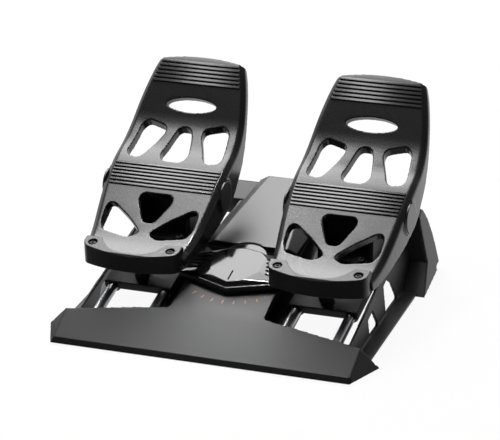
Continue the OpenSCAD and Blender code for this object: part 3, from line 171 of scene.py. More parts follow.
def makeFloor(s):
    bm = bmesh.new()
    bmesh.ops.create_grid(bm, x_segments=1, y_segments=1, size=s["floorSize"])
    mesh = bpy.data.meshes.new("floor")
    bm.to_mesh(mesh)
    bm.free()
    floor = bpy.data.objects.new("floor", mesh)
    bpy.context.scene.collection.objects.link(floor)
    # Matt white paper: it keeps the shadow, and its own light only lifts what is seen of it to white
    material, tree = newMaterial("matt white paper")
    path = addNode(tree, "ShaderNodeLightPath")
    mirrored = addNode(tree, "ShaderNodeMath", {"operation": "MAXIMUM"},
                       {0: path.outputs["Is Glossy Ray"], 1: path.outputs["Is Transmission Ray"]})
    # The paper in front of the object lies in the dark half of the studio, so mirrors see no white there
    place = addNode(tree, "ShaderNodeTexCoord")
    axes = addNode(tree, "ShaderNodeSeparateXYZ", None, {0: place.outputs["Object"]})
    behind = addNode(tree, "ShaderNodeMapRange",
                     {"From Min": s["darkFront"], "From Max": s["darkFront"] + s["darkBlend"]},
                     {"Value": axes.outputs["Y"]})
    inMirrors = addNode(tree, "ShaderNodeMath", {"operation": "MULTIPLY"},
                        {0: mirrored.outputs[0], 1: behind.outputs[0]})
    shown = addNode(tree, "ShaderNodeMath", {"operation": "MAXIMUM"},
                    {0: path.outputs["Is Camera Ray"], 1: inMirrors.outputs[0]})
    dark = addNode(tree, "ShaderNodeMath", {"operation": "SUBTRACT"},
                   {0: mirrored.outputs[0], 1: inMirrors.outputs[0]})
    paper = addNode(tree, "ShaderNodeMix", {"data_type": "RGBA", 6: linearColour(s["floorColour"]),
                                            7: linearColour(s["darkPaper"])}, {0: dark.outputs[0]})
    matt = addNode(tree, "ShaderNodeBsdfDiffuse", None, {"Color": paper.outputs[2]})
    shade = addNode(tree, "ShaderNodeBsdfDiffuse", {"Color": [1 - s["floorLift"]] * 3 + [1]})
    lift = addNode(tree, "ShaderNodeEmission", {"Color": (1, 1, 1, 1), "Strength": s["floorLift"]})
    lit = addNode(tree, "ShaderNodeAddShader", None, {0: shade.outputs[0], 1: lift.outputs[0]})
    mix = addNode(tree, "ShaderNodeMixShader", None,
                  {0: shown.outputs[0], 1: matt.outputs[0], 2: lit.outputs[0]})
    addNode(tree, "ShaderNodeOutputMaterial", None, {"Surface": mix.outputs[0]})
    mesh.materials.append(material)


def makeLamps(lamps):
    for name, (place, target, width, height, watts, spread) in lamps.items():
        lamp = bpy.data.lights.new(name, "AREA")
        lamp.shape = "RECTANGLE"
        lamp.size, lamp.size_y, lamp.energy, lamp.spread = width, height, watts, math.radians(spread)
        holder = bpy.data.objects.new(name, lamp)
        holder.location = place
        holder.rotation_euler = (Vector(target) - Vector(place)).to_track_quat("-Z", "Y").to_euler()
        holder.visible_camera = False
        bpy.context.scene.collection.objects.link(holder)


makeWorld(studioSettings)
makeFloor(studioSettings)
makeLamps(studioSettings["lamps"])
print("floor and lamps set")


# Materials. Each pattern's size is given in millimetres.
# Moulded plastics: the tool's texture gives a dull even grain that breaks up the highlights.
# The real grain is about 0.15 mm, too fine for the picture, so grainMm is drawn coarser.
texturedFinishes = {
    # slot: name, dark, light and edge colour, roughness, grain in mm, relief in mm, gloss level
    # ABS: a spark-eroded texture on the cover and frame, and a finer satin one on the other pieces
    "cover_plastic": ("matt textured ABS, charcoal", "161618", "1c1c1e", "2c2c2e", 0.55, 0.8, 0.025, 0.36),
    "frame_plastic": ("textured ABS, black", "131315", "19191b", "363639", 0.46, 0.8, 0.02, 0.4),
    "spine_plastic": ("satin ABS, charcoal", "1f1f21", "262628", "3c3c3f", 0.36, 0.7, 0.01, 0.5),
    "pedal_plastic": ("satin textured ABS, pedal black", "131315", "19191b", "38383b", 0.27, 0.6, 0.008, 0.5),
    "rest_plastic": ("satin ABS, heel rest black", "141416", "1a1a1c", "3c3c3f", 0.37, 0.6, 0.012, 0.4),
    "cap_plastic": ("satin ABS, cap black", "1a1a1c", "212123", "3c3c3f", 0.3, 0.6, 0.008, 0.5),
    # Nylon: its glass fibres come to the surface, so it is duller and coarser
    "arm_plastic": ("glass-filled nylon, black", "141415", "1d1d1f", "303032", 0.5, 1.1, 0.03, 0.5),
    # Polyester: the sensors' housings, even and a little soft in their shine
    "sensor_plastic": ("moulded polyester, dark green", "16241b", "1f3226", "2c4034", 0.4, 0.8, 0.015, 0.5),
    # Acetal: the bearings, milky and slippery smooth
    "bearing_plastic": ("acetal, natural", "d6d2c4", "e2dfd3", "eeece4", 0.32, 0.9, 0.006, 0.5),
    # Rubber: the feet, with hardly any highlight
    "rubber": ("moulded rubber, black", "101010", "181818", "232323", 0.78, 0.9, 0.03, 0.35),
}
# What they share. The melt cools unevenly over some 40 mm, which the eye sees as a faint cloudiness,
# and sharp corners and edges are made a little lighter, by pointiness.
grainSettings = {
    "detail": 3, "sharpness": 0.6, "bump": 0.6, "ior": 1.53,
    "grainLow": 0.3, "grainHigh": 0.7, "spread": 0.04,  # the grain moves the roughness by spread
    "cloudMm": 42, "cloudDetail": 4,
    "cornerLow": 0.53, "cornerHigh": 0.62, "mostLightened": 0.5,  # pointiness where the lightening starts and ends
}
# The front lip of the cover is painted near black beside the textured apron. This is painted shade for the
# dark reflection of a steeper lip wall, and the lip is also made smoother. The painted shade starts at this y
# and blends in over this length, in metres.
lipPaintedShade = {"start": -0.1302, "blend": 0.0008, "colour": "050506", "roughness": 0.1}


# Painted shade: the cover's front lip gets a near-black colour, and a smoother roughness, past the given y
def paintLipShade(tree, place, colour, dull, s):
    axes = addNode(tree, "ShaderNodeSeparateXYZ", None, {0: place})
    inShadedLip = addNode(tree, "ShaderNodeMapRange",
                    {"From Min": s["start"] + s["blend"], "From Max": s["start"]},
                    {"Value": axes.outputs["Y"]})
    dark = addNode(tree, "ShaderNodeMix", {"data_type": "RGBA", 7: linearColour(s["colour"])},
                   {0: inShadedLip.outputs[0], 6: colour.outputs[2]})
    smooth = addNode(tree, "ShaderNodeMix", {3: s["roughness"]}, {0: inShadedLip.outputs[0], 2: dull.outputs[0]})
    return dark, smooth


def texturedPlastic(name, darkHex, lightHex, edgeHex, roughness, grainMm, reliefMm, glossLevel, lip=None):
    s = grainSettings
    material, tree = newMaterial(name)
    place = addNode(tree, "ShaderNodeTexCoord").outputs["Object"]
    grain = addNode(tree, "ShaderNodeTexNoise",
                    {"Scale": 1 / (grainMm * mm), "Detail": s["detail"], "Roughness": s["sharpness"]},
                    {"Vector": place})
    cloud = addNode(tree, "ShaderNodeTexNoise",
                    {"Scale": 1 / (s["cloudMm"] * mm), "Detail": s["cloudDetail"]}, {"Vector": place})
    tone = addNode(tree, "ShaderNodeMix",
                   {"data_type": "RGBA", 6: linearColour(darkHex), 7: linearColour(lightHex)},
                   {0: cloud.outputs["Fac"]})
    # Sharp corners and edges take the lighter edge colour, by pointiness
    corner = addNode(tree, "ShaderNodeNewGeometry")
    lighterEdges = addNode(tree, "ShaderNodeMapRange",
                     {"From Min": s["cornerLow"], "From Max": s["cornerHigh"], "To Max": s["mostLightened"]},
                     {"Value": corner.outputs["Pointiness"]})
    colour = addNode(tree, "ShaderNodeMix", {"data_type": "RGBA", 7: linearColour(edgeHex)},
                     {0: lighterEdges.outputs[0], 6: tone.outputs[2]})
    dull = addNode(tree, "ShaderNodeMapRange",
                   {"From Min": s["grainLow"], "From Max": s["grainHigh"],
                    "To Min": roughness - s["spread"], "To Max": roughness + s["spread"]},
                   {"Value": grain.outputs["Fac"]})
    # painted shade on the cover's front lip
    if lip:
        colour, dull = paintLipShade(tree, place, colour, dull, lip)
    relief = addNode(tree, "ShaderNodeBump", {"Strength": s["bump"], "Distance": reliefMm * mm},
                     {"Height": grain.outputs["Fac"]})
    shader = addNode(tree, "ShaderNodeBsdfPrincipled", {"IOR": s["ior"], "Specular IOR Level": glossLevel},
                     {"Base Color": colour.outputs[2], "Roughness": dull.outputs[0],
                      "Normal": relief.outputs[0]})
    addNode(tree, "ShaderNodeOutputMaterial", None, {"Surface": shader.outputs[0]})
    return material


# Piano-black ABS: moulded in a mirror-polished tool, so it is deep black with sharp reflections,
# and handling leaves soft swirls about 9 mm across that dull it here and there.
polishSettings = {
    "colour": "060607", "ior": 1.54, "glossLevel": 0.41,
    "swirlMm": 9, "detail": 6, "distortion": 1.2, "swirlLow": 0.35, "swirlHigh": 0.7,
    "clean": 0.06, "handled": 0.12,  # roughness
}


def polishedPlastic(name, s):
    material, tree = newMaterial(name)
    place = addNode(tree, "ShaderNodeTexCoord").outputs["Object"]
    swirl = addNode(tree, "ShaderNodeTexNoise",
                    {"Scale": 1 / (s["swirlMm"] * mm), "Detail": s["detail"],
                     "Distortion": s["distortion"]}, {"Vector": place})
    dull = addNode(tree, "ShaderNodeMapRange",
                   {"From Min": s["swirlLow"], "From Max": s["swirlHigh"], "To Min": s["clean"],
                    "To Max": s["handled"]}, {"Value": swirl.outputs["Fac"]})
    shader = addNode(tree, "ShaderNodeBsdfPrincipled",
                     {"Base Color": linearColour(s["colour"]), "IOR": s["ior"],
                      "Specular IOR Level": s["glossLevel"]}, {"Roughness": dull.outputs[0]})
    addNode(tree, "ShaderNodeOutputMaterial", None, {"Surface": shader.outputs[0]})
    return material


# Steel: ground, plated or drawn, so fine lines run along it and stretch the highlight across them.
# The real lines are about 0.02 mm apart, so lineMm is drawn coarser.
steelFinishes = {
    # slot: name, colour, roughness, lines in mm, the way they run, metallic
    "rail_steel": ("ground and chromed steel rod", "b4b5b8", 0.33, 0.5, "y", 1.0),
    "screw_steel": ("zinc-plated steel, darkened", "4d4d4f", 0.34, 0.6, "z", 1.0),
    "black_screw": ("black-oxide steel", "161617", 0.34, 0.6, "z", 0.7),
    "spring_steel": ("drawn spring wire", "a1a2a4", 0.26, 0.4, "x", 1.0),
}
# What they share: stretch is the pattern's scale along the lines, and handling clouds the shine.
# Lines and cloud together move the roughness, from smoother to duller.
lineSettings = {
    "stretch": 0.04, "detail": 3, "cloudMm": 12, "cloudDetail": 4,
    "sumLow": 0.7, "sumHigh": 1.3, "smoother": 0.05, "duller": 0.06, "bump": 0.25, "reliefMm": 0.01,
}


def drawnSteel(name, hexText, roughness, lineMm, along, metallic):
    s = lineSettings
    material, tree = newMaterial(name)
    place = addNode(tree, "ShaderNodeTexCoord").outputs["Object"]
    drawn = addNode(tree, "ShaderNodeMapping",
                    {"Scale": [s["stretch"] if axis == along else 1 for axis in "xyz"]}, {"Vector": place})
    lines = addNode(tree, "ShaderNodeTexNoise", {"Scale": 1 / (lineMm * mm), "Detail": s["detail"]},
                    {"Vector": drawn.outputs[0]})
    cloud = addNode(tree, "ShaderNodeTexNoise",
                    {"Scale": 1 / (s["cloudMm"] * mm), "Detail": s["cloudDetail"]}, {"Vector": place})
    both = addNode(tree, "ShaderNodeMath", {"operation": "ADD"},
                   {0: lines.outputs["Fac"], 1: cloud.outputs["Fac"]})
    dull = addNode(tree, "ShaderNodeMapRange",
                   {"From Min": s["sumLow"], "From Max": s["sumHigh"], "To Min": roughness - s["smoother"],
                    "To Max": roughness + s["duller"]}, {"Value": both.outputs[0]})
    relief = addNode(tree, "ShaderNodeBump", {"Strength": s["bump"], "Distance": s["reliefMm"] * mm},
                     {"Height": lines.outputs["Fac"]})
    shader = addNode(tree, "ShaderNodeBsdfPrincipled",
                     {"Base Color": linearColour(hexText), "Metallic": metallic},
                     {"Roughness": dull.outputs[0], "Normal": relief.outputs[0]})
    addNode(tree, "ShaderNodeOutputMaterial", None, {"Surface": shader.outputs[0]})
    return material


# Circuit board: glass-epoxy under green lacquer, whose copper tracks show as lighter lines 2.25 mm apart,
# a quarter of patternMm
boardSettings = {
    "patternMm": 9, "copperWidth": 0.06, "stagger": 0.37, "dark": "0e4a2a", "light": "115232",
    "copper": "2f7a50", "roughness": 0.25, "lacquer": 0.3,
}


def lacqueredBoard(name, s):
    material, tree = newMaterial(name)
    place = addNode(tree, "ShaderNodeTexCoord").outputs["Object"]
    tracks = addNode(tree, "ShaderNodeTexBrick",
                     {"Scale": 1 / (s["patternMm"] * mm), "Mortar Size": s["copperWidth"],
                      "offset": s["stagger"], "Color1": linearColour(s["dark"]),
                      "Color2": linearColour(s["light"]), "Mortar": linearColour(s["copper"])},
                     {"Vector": place})
    shader = addNode(tree, "ShaderNodeBsdfPrincipled",
                     {"Roughness": s["roughness"], "Coat Weight": s["lacquer"]},
                     {"Base Color": tracks.outputs["Color"]})
    addNode(tree, "ShaderNodeOutputMaterial", None, {"Surface": shader.outputs[0]})
    return material


# Pad-printed ink: thin and matt, so the grain of the plastic shows through it as a mottle of about 0.8 mm
inkSettings = {"dark": "6e3a22", "light": "a05e38", "mottleMm": 0.8, "detail": 3,
               "mottleLow": 0.35, "mottleHigh": 0.65, "roughness": 0.6}


def printedInk(name, s):
    material, tree = newMaterial(name)
    place = addNode(tree, "ShaderNodeTexCoord").outputs["Object"]
    grain = addNode(tree, "ShaderNodeTexNoise", {"Scale": 1 / (s["mottleMm"] * mm), "Detail": s["detail"]},
                    {"Vector": place})
    mottle = addNode(tree, "ShaderNodeMapRange", {"From Min": s["mottleLow"], "From Max": s["mottleHigh"]},
                     {"Value": grain.outputs["Fac"]})
    tone = addNode(tree, "ShaderNodeMix",
                   {"data_type": "RGBA", 6: linearColour(s["dark"]), 7: linearColour(s["light"])},
                   {0: mottle.outputs[0]})
    shader = addNode(tree, "ShaderNodeBsdfPrincipled", {"Roughness": s["roughness"]},
                     {"Base Color": tone.outputs[2]})
    addNode(tree, "ShaderNodeOutputMaterial", None, {"Surface": shader.outputs[0]})
    return material


# The cover's plastic carries the painted shade on its front lip
finishes = {slot: texturedPlastic(*values, lipPaintedShade if slot == "cover_plastic" else None)
            for slot, values in texturedFinishes.items()}
finishes.update({slot: drawnSteel(*values) for slot, values in steelFinishes.items()})
finishes["gloss_black"] = polishedPlastic("polished ABS, piano black", polishSettings)
finishes["board"] = lacqueredBoard("lacquered circuit board", boardSettings)
finishes["mark_paint"] = printedInk("printed ink, rusty orange", inkSettings)
print("materials made:", len(finishes))


# Tools for the modelled pieces
def keepMesh(name, bm):
    mesh = bpy.data.meshes.new(name)
    bmesh.ops.recalc_face_normals(bm, faces=bm.faces)
    bm.to_mesh(mesh)
    bm.free()
    piece = bpy.data.objects.new(name, mesh)
    bpy.context.scene.collection.objects.link(piece)
    return piece


def useModifier(piece, kind, **settings):
    modifier = piece.modifiers.new(kind.title(), kind)
    for key, value in settings.items():
        setattr(modifier, key, value)
    done = bpy.data.meshes.new_from_object(piece.evaluated_get(bpy.context.evaluated_depsgraph_get()))
    piece.modifiers.clear()
    old, piece.data = piece.data, done
    bpy.data.meshes.remove(old)


def combine(piece, other, operation):
    bpy.context.view_layer.update()
    useModifier(piece, "BOOLEAN", object=other, operation=operation, solver="MANIFOLD")
    bpy.data.objects.remove(other)
    return piece


def moulded(piece, voxelMm, rounds, keep):
    # Melts the edges together as a mould does: every corner gets a small radius
    useModifier(piece, "REMESH", mode="VOXEL", voxel_size=voxelMm * mm)
    useModifier(piece, "SMOOTH", factor=0.5, iterations=rounds)
    useModifier(piece, "DECIMATE", ratio=keep)


def rectangle(left, right, front, back):
    return [(left, front), (right, front), (right, back), (left, back)]


def prism(name, outline, low, high, place, cornerMm=0, steps=4, endMm=0):
    # A closed block with the given outline in x and y, in millimetres; endMm rounds the edges of its ends
    endAngle = 1.2  # radians between the faces of such an edge
    bm = bmesh.new()
    face = bm.faces.new([bm.verts.new((x * mm, y * mm, low * mm)) for x, y in outline])
    if cornerMm:
        bmesh.ops.bevel(bm, geom=face.verts[:], offset=cornerMm * mm, affect="VERTICES", segments=steps,
                        profile=0.5, material=-1, clamp_overlap=True)
    raised = bmesh.ops.extrude_face_region(bm, geom=bm.faces[:])["geom"]
    top = [v for v in raised if isinstance(v, bmesh.types.BMVert)]
    bmesh.ops.translate(bm, vec=(0, 0, (high - low) * mm), verts=top)
    if endMm:
        bmesh.ops.recalc_face_normals(bm, faces=bm.faces)
        ends = [e for e in bm.edges if e.calc_face_angle(0) > endAngle]
        bmesh.ops.bevel(bm, geom=ends, offset=endMm * mm, affect="EDGES", segments=2, profile=0.5,
                        material=-1)
    bmesh.ops.transform(bm, matrix=place, verts=bm.verts)
    return keepMesh(name, bm)


def roundBar(name, radius, x0, x1, place):
    # A bar along x, in millimetres
    sides = 48
    bm = bmesh.new()
    along = Matrix.Translation(((x0 + x1) / 2 * mm, 0, 0)) @ Matrix.Rotation(math.pi / 2, 4, "Y")
    bmesh.ops.create_cone(bm, cap_ends=True, segments=sides, radius1=radius * mm, radius2=radius * mm,
                          depth=abs(x1 - x0) * mm, matrix=along)
    bmesh.ops.transform(bm, matrix=place, verts=bm.verts)
    return keepMesh(name, bm)


def finishPiece(piece, body, slot, smoothAngle, *replaced):
    for polygon in piece.data.polygons:
        polygon.use_smooth = True
    piece.data.set_sharp_from_angle(angle=math.radians(smoothAngle))
    piece.data.materials.clear()
    piece.data.materials.append(finishes[slot])
    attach(piece, body)
    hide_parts(*replaced)


# A pedal: lengths in millimetres, angles in degrees, and shares of the tread's length or half width
pedalSettings = {
    "axle": (90, 28.422, 89.493), "heelBack": 97.4, "heelLow": 27.6, "heelAngle": 10.3,
    # The tread is a chain of straight and bent stretches, each with its length and its turn
    "stretches": ((17, 0), (36.4, 22.2), (35, 0), (48, -15.7), (43.8, 30.8), (43, 0), (16.8, -11.5)),
    "halfWidth": 54, "heelHalfWidth": 41.5, "toeHalfWidth": 38.5, "widestShare": 0.548,
    "edgeWidth": 4.9, "edgeDrop": 3.7, "toeBow": 5, "bowPower": 6, "wall": 3, "deepestShare": 0.448,
    "treadGrid": (96, 150), "flatShare": 0.64, "slopeShare": 0.1,  # of the columns; the rest is skirt
    "skirtEdge": 11, "skirtHub": 35, "skirtHeelRun": 107, "skirtToeRun": 80,
    # Rims around the windows and ribs under the toe, kept where they lie in a slab under the tread. Blocks
    # reach up and down by so many depths of the rim, and corners grow by more than the rim's width.
    "slabGrid": (40, 110), "slabTop": 0.6, "slabMargin": 1, "rimDepth": 8.5, "rimWidth": 2.6,
    "windowCorner": 4.2, "cornerGrowth": 1.2, "windowReach": 2.2,
    "ovalHalfWidth": 25.2, "ovalHalfLength": 7.4, "ovalShare": 0.791, "ovalPinch": 0.1, "ovalSteps": 28,
    "ribShares": (0.868, 0.94), "ribSideShare": 0.36, "ribWidth": 2.2, "ribReach": 2,
    # Hubs at the ends of the axle, under the tread
    "hubRadius": 16, "hubOut": 59.2, "hubIn": 48.2, "bushRadius": 6, "capRadius": 14.1, "capRecess": 1.4,
    "hubGrid": (12, 110), "hubReach": 64, "hubGap": 0.3, "hubDepth": 60, "boreReach": 70, "overrun": 2,
    # Ridges across the tread, each with a sloping top: rows as their start's share and their number
    "ridgeOutline": ((-1.6, -0.8), (1.85, -0.8), (1.6, 0.72), (-1.35, 1.5)), "ridgeCorner": 0.42,
    "ridgeSteps": 5, "ridgeEnd": 0.3, "ridgePitch": 4.05, "ridgeMargin": 1.2,
    "ridgeRows": ((0.3767, 7), (0.8842, 6)),
    # The heel rest around the tread's end, and the blocks that cut the tread to fit inside it. The tread goes
    # on past its first stretch by heelExtra.
    "restHalf": 47, "restCorner": 9, "restBow": 118, "restFront": 6, "restWall": 3.4, "restSkirt": 13.5,
    "restGap": 0.1, "bowSteps": 16, "cornerSteps": 8, "heelExtra": 2.3,
    "cutReach": 90, "cutFront": -60, "cutBack": 60, "cutUnder": -5, "cutOver": 1,
    "melted": (0.72, 4, 0.36), "smoothAngle": 38,  # melted as a row of meltSettings
}
pedalSettings["length"] = sum(length for length, turn in pedalSettings["stretches"])
# Windows: outline as shares of the half width and of the length, the share at their middle, and if they
# have a twin on the other side
windowShares = {
    "lowSide": (((0.807, 0.2858), (0.852, 0.2583), (0.837, 0.1917), (0.759, 0.155), (0.278, 0.1308),
                 (0.111, 0.1521), (0.122, 0.1729), (0.37, 0.2271), (0.713, 0.2858)), 0.242, True),
    "lowMiddle": (((-0.269, 0.3475), (0.269, 0.3475), (0.319, 0.3167), (0.1, 0.2108), (-0.1, 0.2108),
                   (-0.319, 0.3167)), 0.242, False),
    "topSide": (((0.339, 0.6667), (0.37, 0.6942), (0.713, 0.7167), (0.82, 0.6875), (0.885, 0.55),
                 (0.837, 0.5233), (0.639, 0.5158), (0.565, 0.5333)), 0.608, True),
    "topMiddle": (((-0.096, 0.695), (0.096, 0.695), (0.159, 0.6583), (0.259, 0.5458), (0.174, 0.51),
                   (-0.174, 0.51), (-0.259, 0.5458), (-0.159, 0.6583)), 0.608, False),
}
axlePlace = Matrix.Translation([v * mm for v in pedalSettings["axle"]])
heelPlace = Matrix.Translation([v * mm for v in (pedalSettings["axle"][0],
                                                 pedalSettings["axle"][1] - pedalSettings["heelBack"],
                                                 pedalSettings["axle"][2] - pedalSettings["heelLow"])])


def treadPlace(along):
    s = pedalSettings
    y = z = done = 0
    angle = math.radians(s["heelAngle"])
    for length, turn in s["stretches"]:
        last = (length, turn) == s["stretches"][-1]
        step = along - done if last or along < done + length else length
        bend = math.radians(turn) * step / length
        if turn:
            radius = length / math.radians(turn)
            y += radius * (math.sin(angle + bend) - math.sin(angle))
            z += radius * (math.cos(angle) - math.cos(angle + bend))
        else:
            y, z = y + step * math.cos(angle), z + step * math.sin(angle)
        angle, done = angle + bend, done + length
        if along <= done:
            break
    return y, z, angle


def treadHalf(along):
    s = pedalSettings
    widest = s["widestShare"] * s["length"]
    end, run = (s["heelHalfWidth"], widest) if along < widest else (s["toeHalfWidth"], s["length"] - widest)
    return s["halfWidth"] - (s["halfWidth"] - end) * ((along - widest) / run) ** 2


def skirtDepth(along):
    s = pedalSettings
    deepest = s["deepestShare"] * s["length"]
    run = s["skirtHeelRun"] if along < deepest else s["skirtToeRun"]
    share = min(1, abs(along - deepest) / run)
    return s["skirtEdge"] + (s["skirtHub"] - s["skirtEdge"]) * math.cos(math.pi / 2 * share) ** 2


def onTread(along):
    y, z, angle = treadPlace(along)
    return heelPlace @ Matrix.Translation((0, y * mm, z * mm)) @ Matrix.Rotation(angle, 4, "X")


def treadPoint(across, along, drop):
    s = pedalSettings
    edge = treadHalf(along) + s["edgeWidth"]
    bow = s["toeBow"] * (along / s["length"]) ** s["bowPower"] * (across / edge) ** 2
    y, z, angle = treadPlace(along - bow)
    return heelPlace @ Vector((across * mm, (y + drop * math.sin(angle)) * mm,
                               (z - drop * math.cos(angle)) * mm))


def treadSheet(name, grid, section):
    # A grid bent to the tread, facing up: section gives the offset and the drop for a share across it and
    # a place along it
    columns, rows = grid
    start, end = -pedalSettings["heelExtra"], pedalSettings["length"]
    bm = bmesh.new()
    bmesh.ops.create_grid(bm, x_segments=columns, y_segments=rows, size=1)
    for vert in bm.verts:
        along = start + (vert.co.y + 1) / 2 * (end - start)
        across, drop = section(vert.co.x, along)
        vert.co = treadPoint(across, along, drop)
    sheet = keepMesh(name, bm)
    if sum(p.normal.z for p in sheet.data.polygons) < 0:
        sheet.data.flip_normals()
    return sheet


def shellSection(share, along):
    # Across the tread: the flat top, the sloping edge and the skirt take fixed shares of the grid
    s = pedalSettings
    side, reach = (1 if share > 0 else -1), abs(share)
    half, deep = treadHalf(along), skirtDepth(along)
    flat, slope = s["flatShare"], s["slopeShare"]
    if reach < flat:
        return side * half * reach / flat, 0
    if reach < flat + slope:
        k = (reach - flat) / slope
        return side * (half + s["edgeWidth"] * k), s["edgeDrop"] * k
    k = (reach - (flat + slope)) / (1 - (flat + slope))
    return side * (half + s["edgeWidth"]), s["edgeDrop"] + (deep - s["edgeDrop"]) * k


def slabSection(share, along):
    return share * (treadHalf(along) - pedalSettings["slabMargin"]), pedalSettings["slabTop"]


def hubSection(share, along):
    return share * pedalSettings["hubReach"], pedalSettings["edgeDrop"] + pedalSettings["hubGap"]


def windowOutline(shares, middle, grow, flip):
    s = pedalSettings
    points = [(flip * x * s["halfWidth"], y * s["length"] - middle * s["length"]) for x, y in shares]
    if not grow:
        return points
    centreX, centreY = ((max(p[i] for p in points) + min(p[i] for p in points)) / 2 for i in (0, 1))
    moved = []
    for x, y in points:
        reach = math.hypot(x - centreX, y - centreY)
        moved.append((x + (x - centreX) / reach * grow * s["cornerGrowth"],
                      y + (y - centreY) / reach * grow * s["cornerGrowth"]))
    return moved


def windowBlocks(grow, corner):
    s = pedalSettings
    depth = s["windowReach"] * s["rimDepth"]
    for name, (shares, middle, paired) in windowShares.items():
        for flip in (1, -1) if paired else (1,):
            yield prism(name, windowOutline(shares, middle, grow, flip), -depth, depth,
                        onTread(middle * s["length"]), corner)
    wide, long = s["ovalHalfWidth"] + grow, s["ovalHalfLength"] + grow
    oval = [(wide * math.cos(a), long * math.sin(a) * (1 - s["ovalPinch"] * math.cos(a) ** 2))
            for a in (math.pi * i / s["ovalSteps"] for i in range(2 * s["ovalSteps"]))]
    yield prism("oval", oval, -depth, depth, onTread(s["ovalShare"] * s["length"]))


def ribBlocks():
    s = pedalSettings
    half, length, wide = s["ribWidth"] / 2, s["length"], s["halfWidth"]
    low, high = -s["ribReach"] * s["rimDepth"], s["rimDepth"]
    for share in s["ribShares"]:
        yield prism("rib", rectangle(-wide, wide, -half, half), low, high, onTread(share * length))
    first = s["ribShares"][0]
    run = length * (1 - first) - s["toeBow"]
    for side in (-1, 1):
        x = side * s["ribSideShare"] * wide
        yield prism("rib", rectangle(x - half, x + half, 0, run), low, high, onTread(first * length))


# Plan of the heel rest: a bowed front between two round corners
def restPlan(inset, back):
    s = pedalSettings
    lean = math.asin((s["restHalf"] - s["restCorner"]) / (s["restBow"] - s["restCorner"]))
    bow, corner = s["restBow"] - inset, s["restCorner"] - inset
    middle = s["restBow"] - s["restFront"]
    cornerY = middle - (s["restBow"] - s["restCorner"]) * math.cos(lean)
    front = [(bow * math.sin(a), middle - bow * math.cos(a))
             for a in (lean * (i / s["bowSteps"] - 1) for i in range(2 * s["bowSteps"] + 1))]
    steps = s["cornerSteps"]
    right = [(s["restHalf"] - s["restCorner"] + corner * math.sin(a), cornerY - corner * math.cos(a))
             for a in (lean + (math.pi / 2 - lean) * i / steps for i in range(1, steps + 1))]
    left = [(-x, y) for x, y in reversed(right)]
    return left + front + right + [(s["restHalf"] - inset, back), (inset - s["restHalf"], back)]


# The end of the tread that lies inside the heel rest is narrower, and has no skirt
def heelCutters():
    s = pedalSettings
    reach, over, back = s["cutReach"], s["cutReach"] + s["cutOver"], s["restSkirt"]
    plan = restPlan(s["restWall"] + s["restGap"], s["cutBack"])
    around = prism("around", rectangle(-reach, reach, s["cutFront"], back), -reach, reach, heelPlace)
    yield combine(around, prism("inside", plan, -over, over, heelPlace), "DIFFERENCE")
    yield prism("below", rectangle(-reach, reach, s["cutUnder"], back), -reach, -s["wall"], onTread(0))


def makeRims():
    s = pedalSettings
    slab = treadSheet("slab", s["slabGrid"], slabSection)
    useModifier(slab, "SOLIDIFY", thickness=(s["rimDepth"] - s["slabTop"]) * mm, offset=-1)
    rims, *others = list(windowBlocks(s["rimWidth"], s["windowCorner"] + s["rimWidth"])) + list(ribBlocks())
    for block in others:
        combine(rims, block, "UNION")
    return combine(rims, slab, "INTERSECT")


def makeHub(side):
    s = pedalSettings
    under = treadSheet("under", s["hubGrid"], hubSection)
    useModifier(under, "SOLIDIFY", thickness=s["hubDepth"] * mm, offset=-1)
    hub = roundBar("hub", s["hubRadius"], side * s["hubIn"], side * s["hubOut"], axlePlace)
    return combine(hub, under, "INTERSECT")


def makePedalShell():
    s = pedalSettings
    shell = treadSheet("pedalShell", s["treadGrid"], shellSection)
    useModifier(shell, "SOLIDIFY", thickness=s["wall"] * mm, offset=-1, use_even_offset=True)
    for addition in (makeRims(), makeHub(-1), makeHub(1)):
        combine(shell, addition, "UNION")
    cutters = list(windowBlocks(0, s["windowCorner"]))
    for side in (-1, 1):
        cutters.append(roundBar("recess", s["capRadius"], side * (s["hubOut"] - s["capRecess"]),
                                side * (s["hubOut"] + s["overrun"]), axlePlace))
    cutters.append(roundBar("bore", s["bushRadius"], -s["boreReach"], s["boreReach"], axlePlace))
    for cutter in cutters + list(heelCutters()):
        combine(shell, cutter, "DIFFERENCE")
    return shell


def addRidges(shell):
    s = pedalSettings
    standing = Matrix(((0, 0, 1), (1, 0, 0), (0, 1, 0))).to_4x4()  # the outline stands up, its length across
    for start, count in s["ridgeRows"]:
        for i in range(count):
            along = start * s["length"] + i * s["ridgePitch"]
            reach = treadHalf(along) - s["ridgeMargin"]
            ridge = prism("ridge", s["ridgeOutline"], -reach, reach, onTread(along) @ standing,
                          s["ridgeCorner"], s["ridgeSteps"], s["ridgeEnd"])
            combine(shell, ridge, "UNION")


pedalRight = makePedalShell()
moulded(pedalRight, *pedalSettings["melted"])
addRidges(pedalRight)
pedalRight.name = "pedalPlateRight"
pedalLeft = bpy.data.objects.new("pedalPlateLeft", pedalRight.data.copy())
pedalLeft.data.transform(Matrix.Translation((-2 * pedalSettings["axle"][0] * mm, 0, 0)))
bpy.context.scene.collection.objects.link(pedalLeft)
finishPiece(pedalRight, "pedal_right", "pedal_plastic", pedalSettings["smoothAngle"], "pedal_right")
finishPiece(pedalLeft, "pedal_left", "pedal_plastic", pedalSettings["smoothAngle"], "pedal_left")
print("pedals made:", len(pedalRight.data.polygons), "faces each")

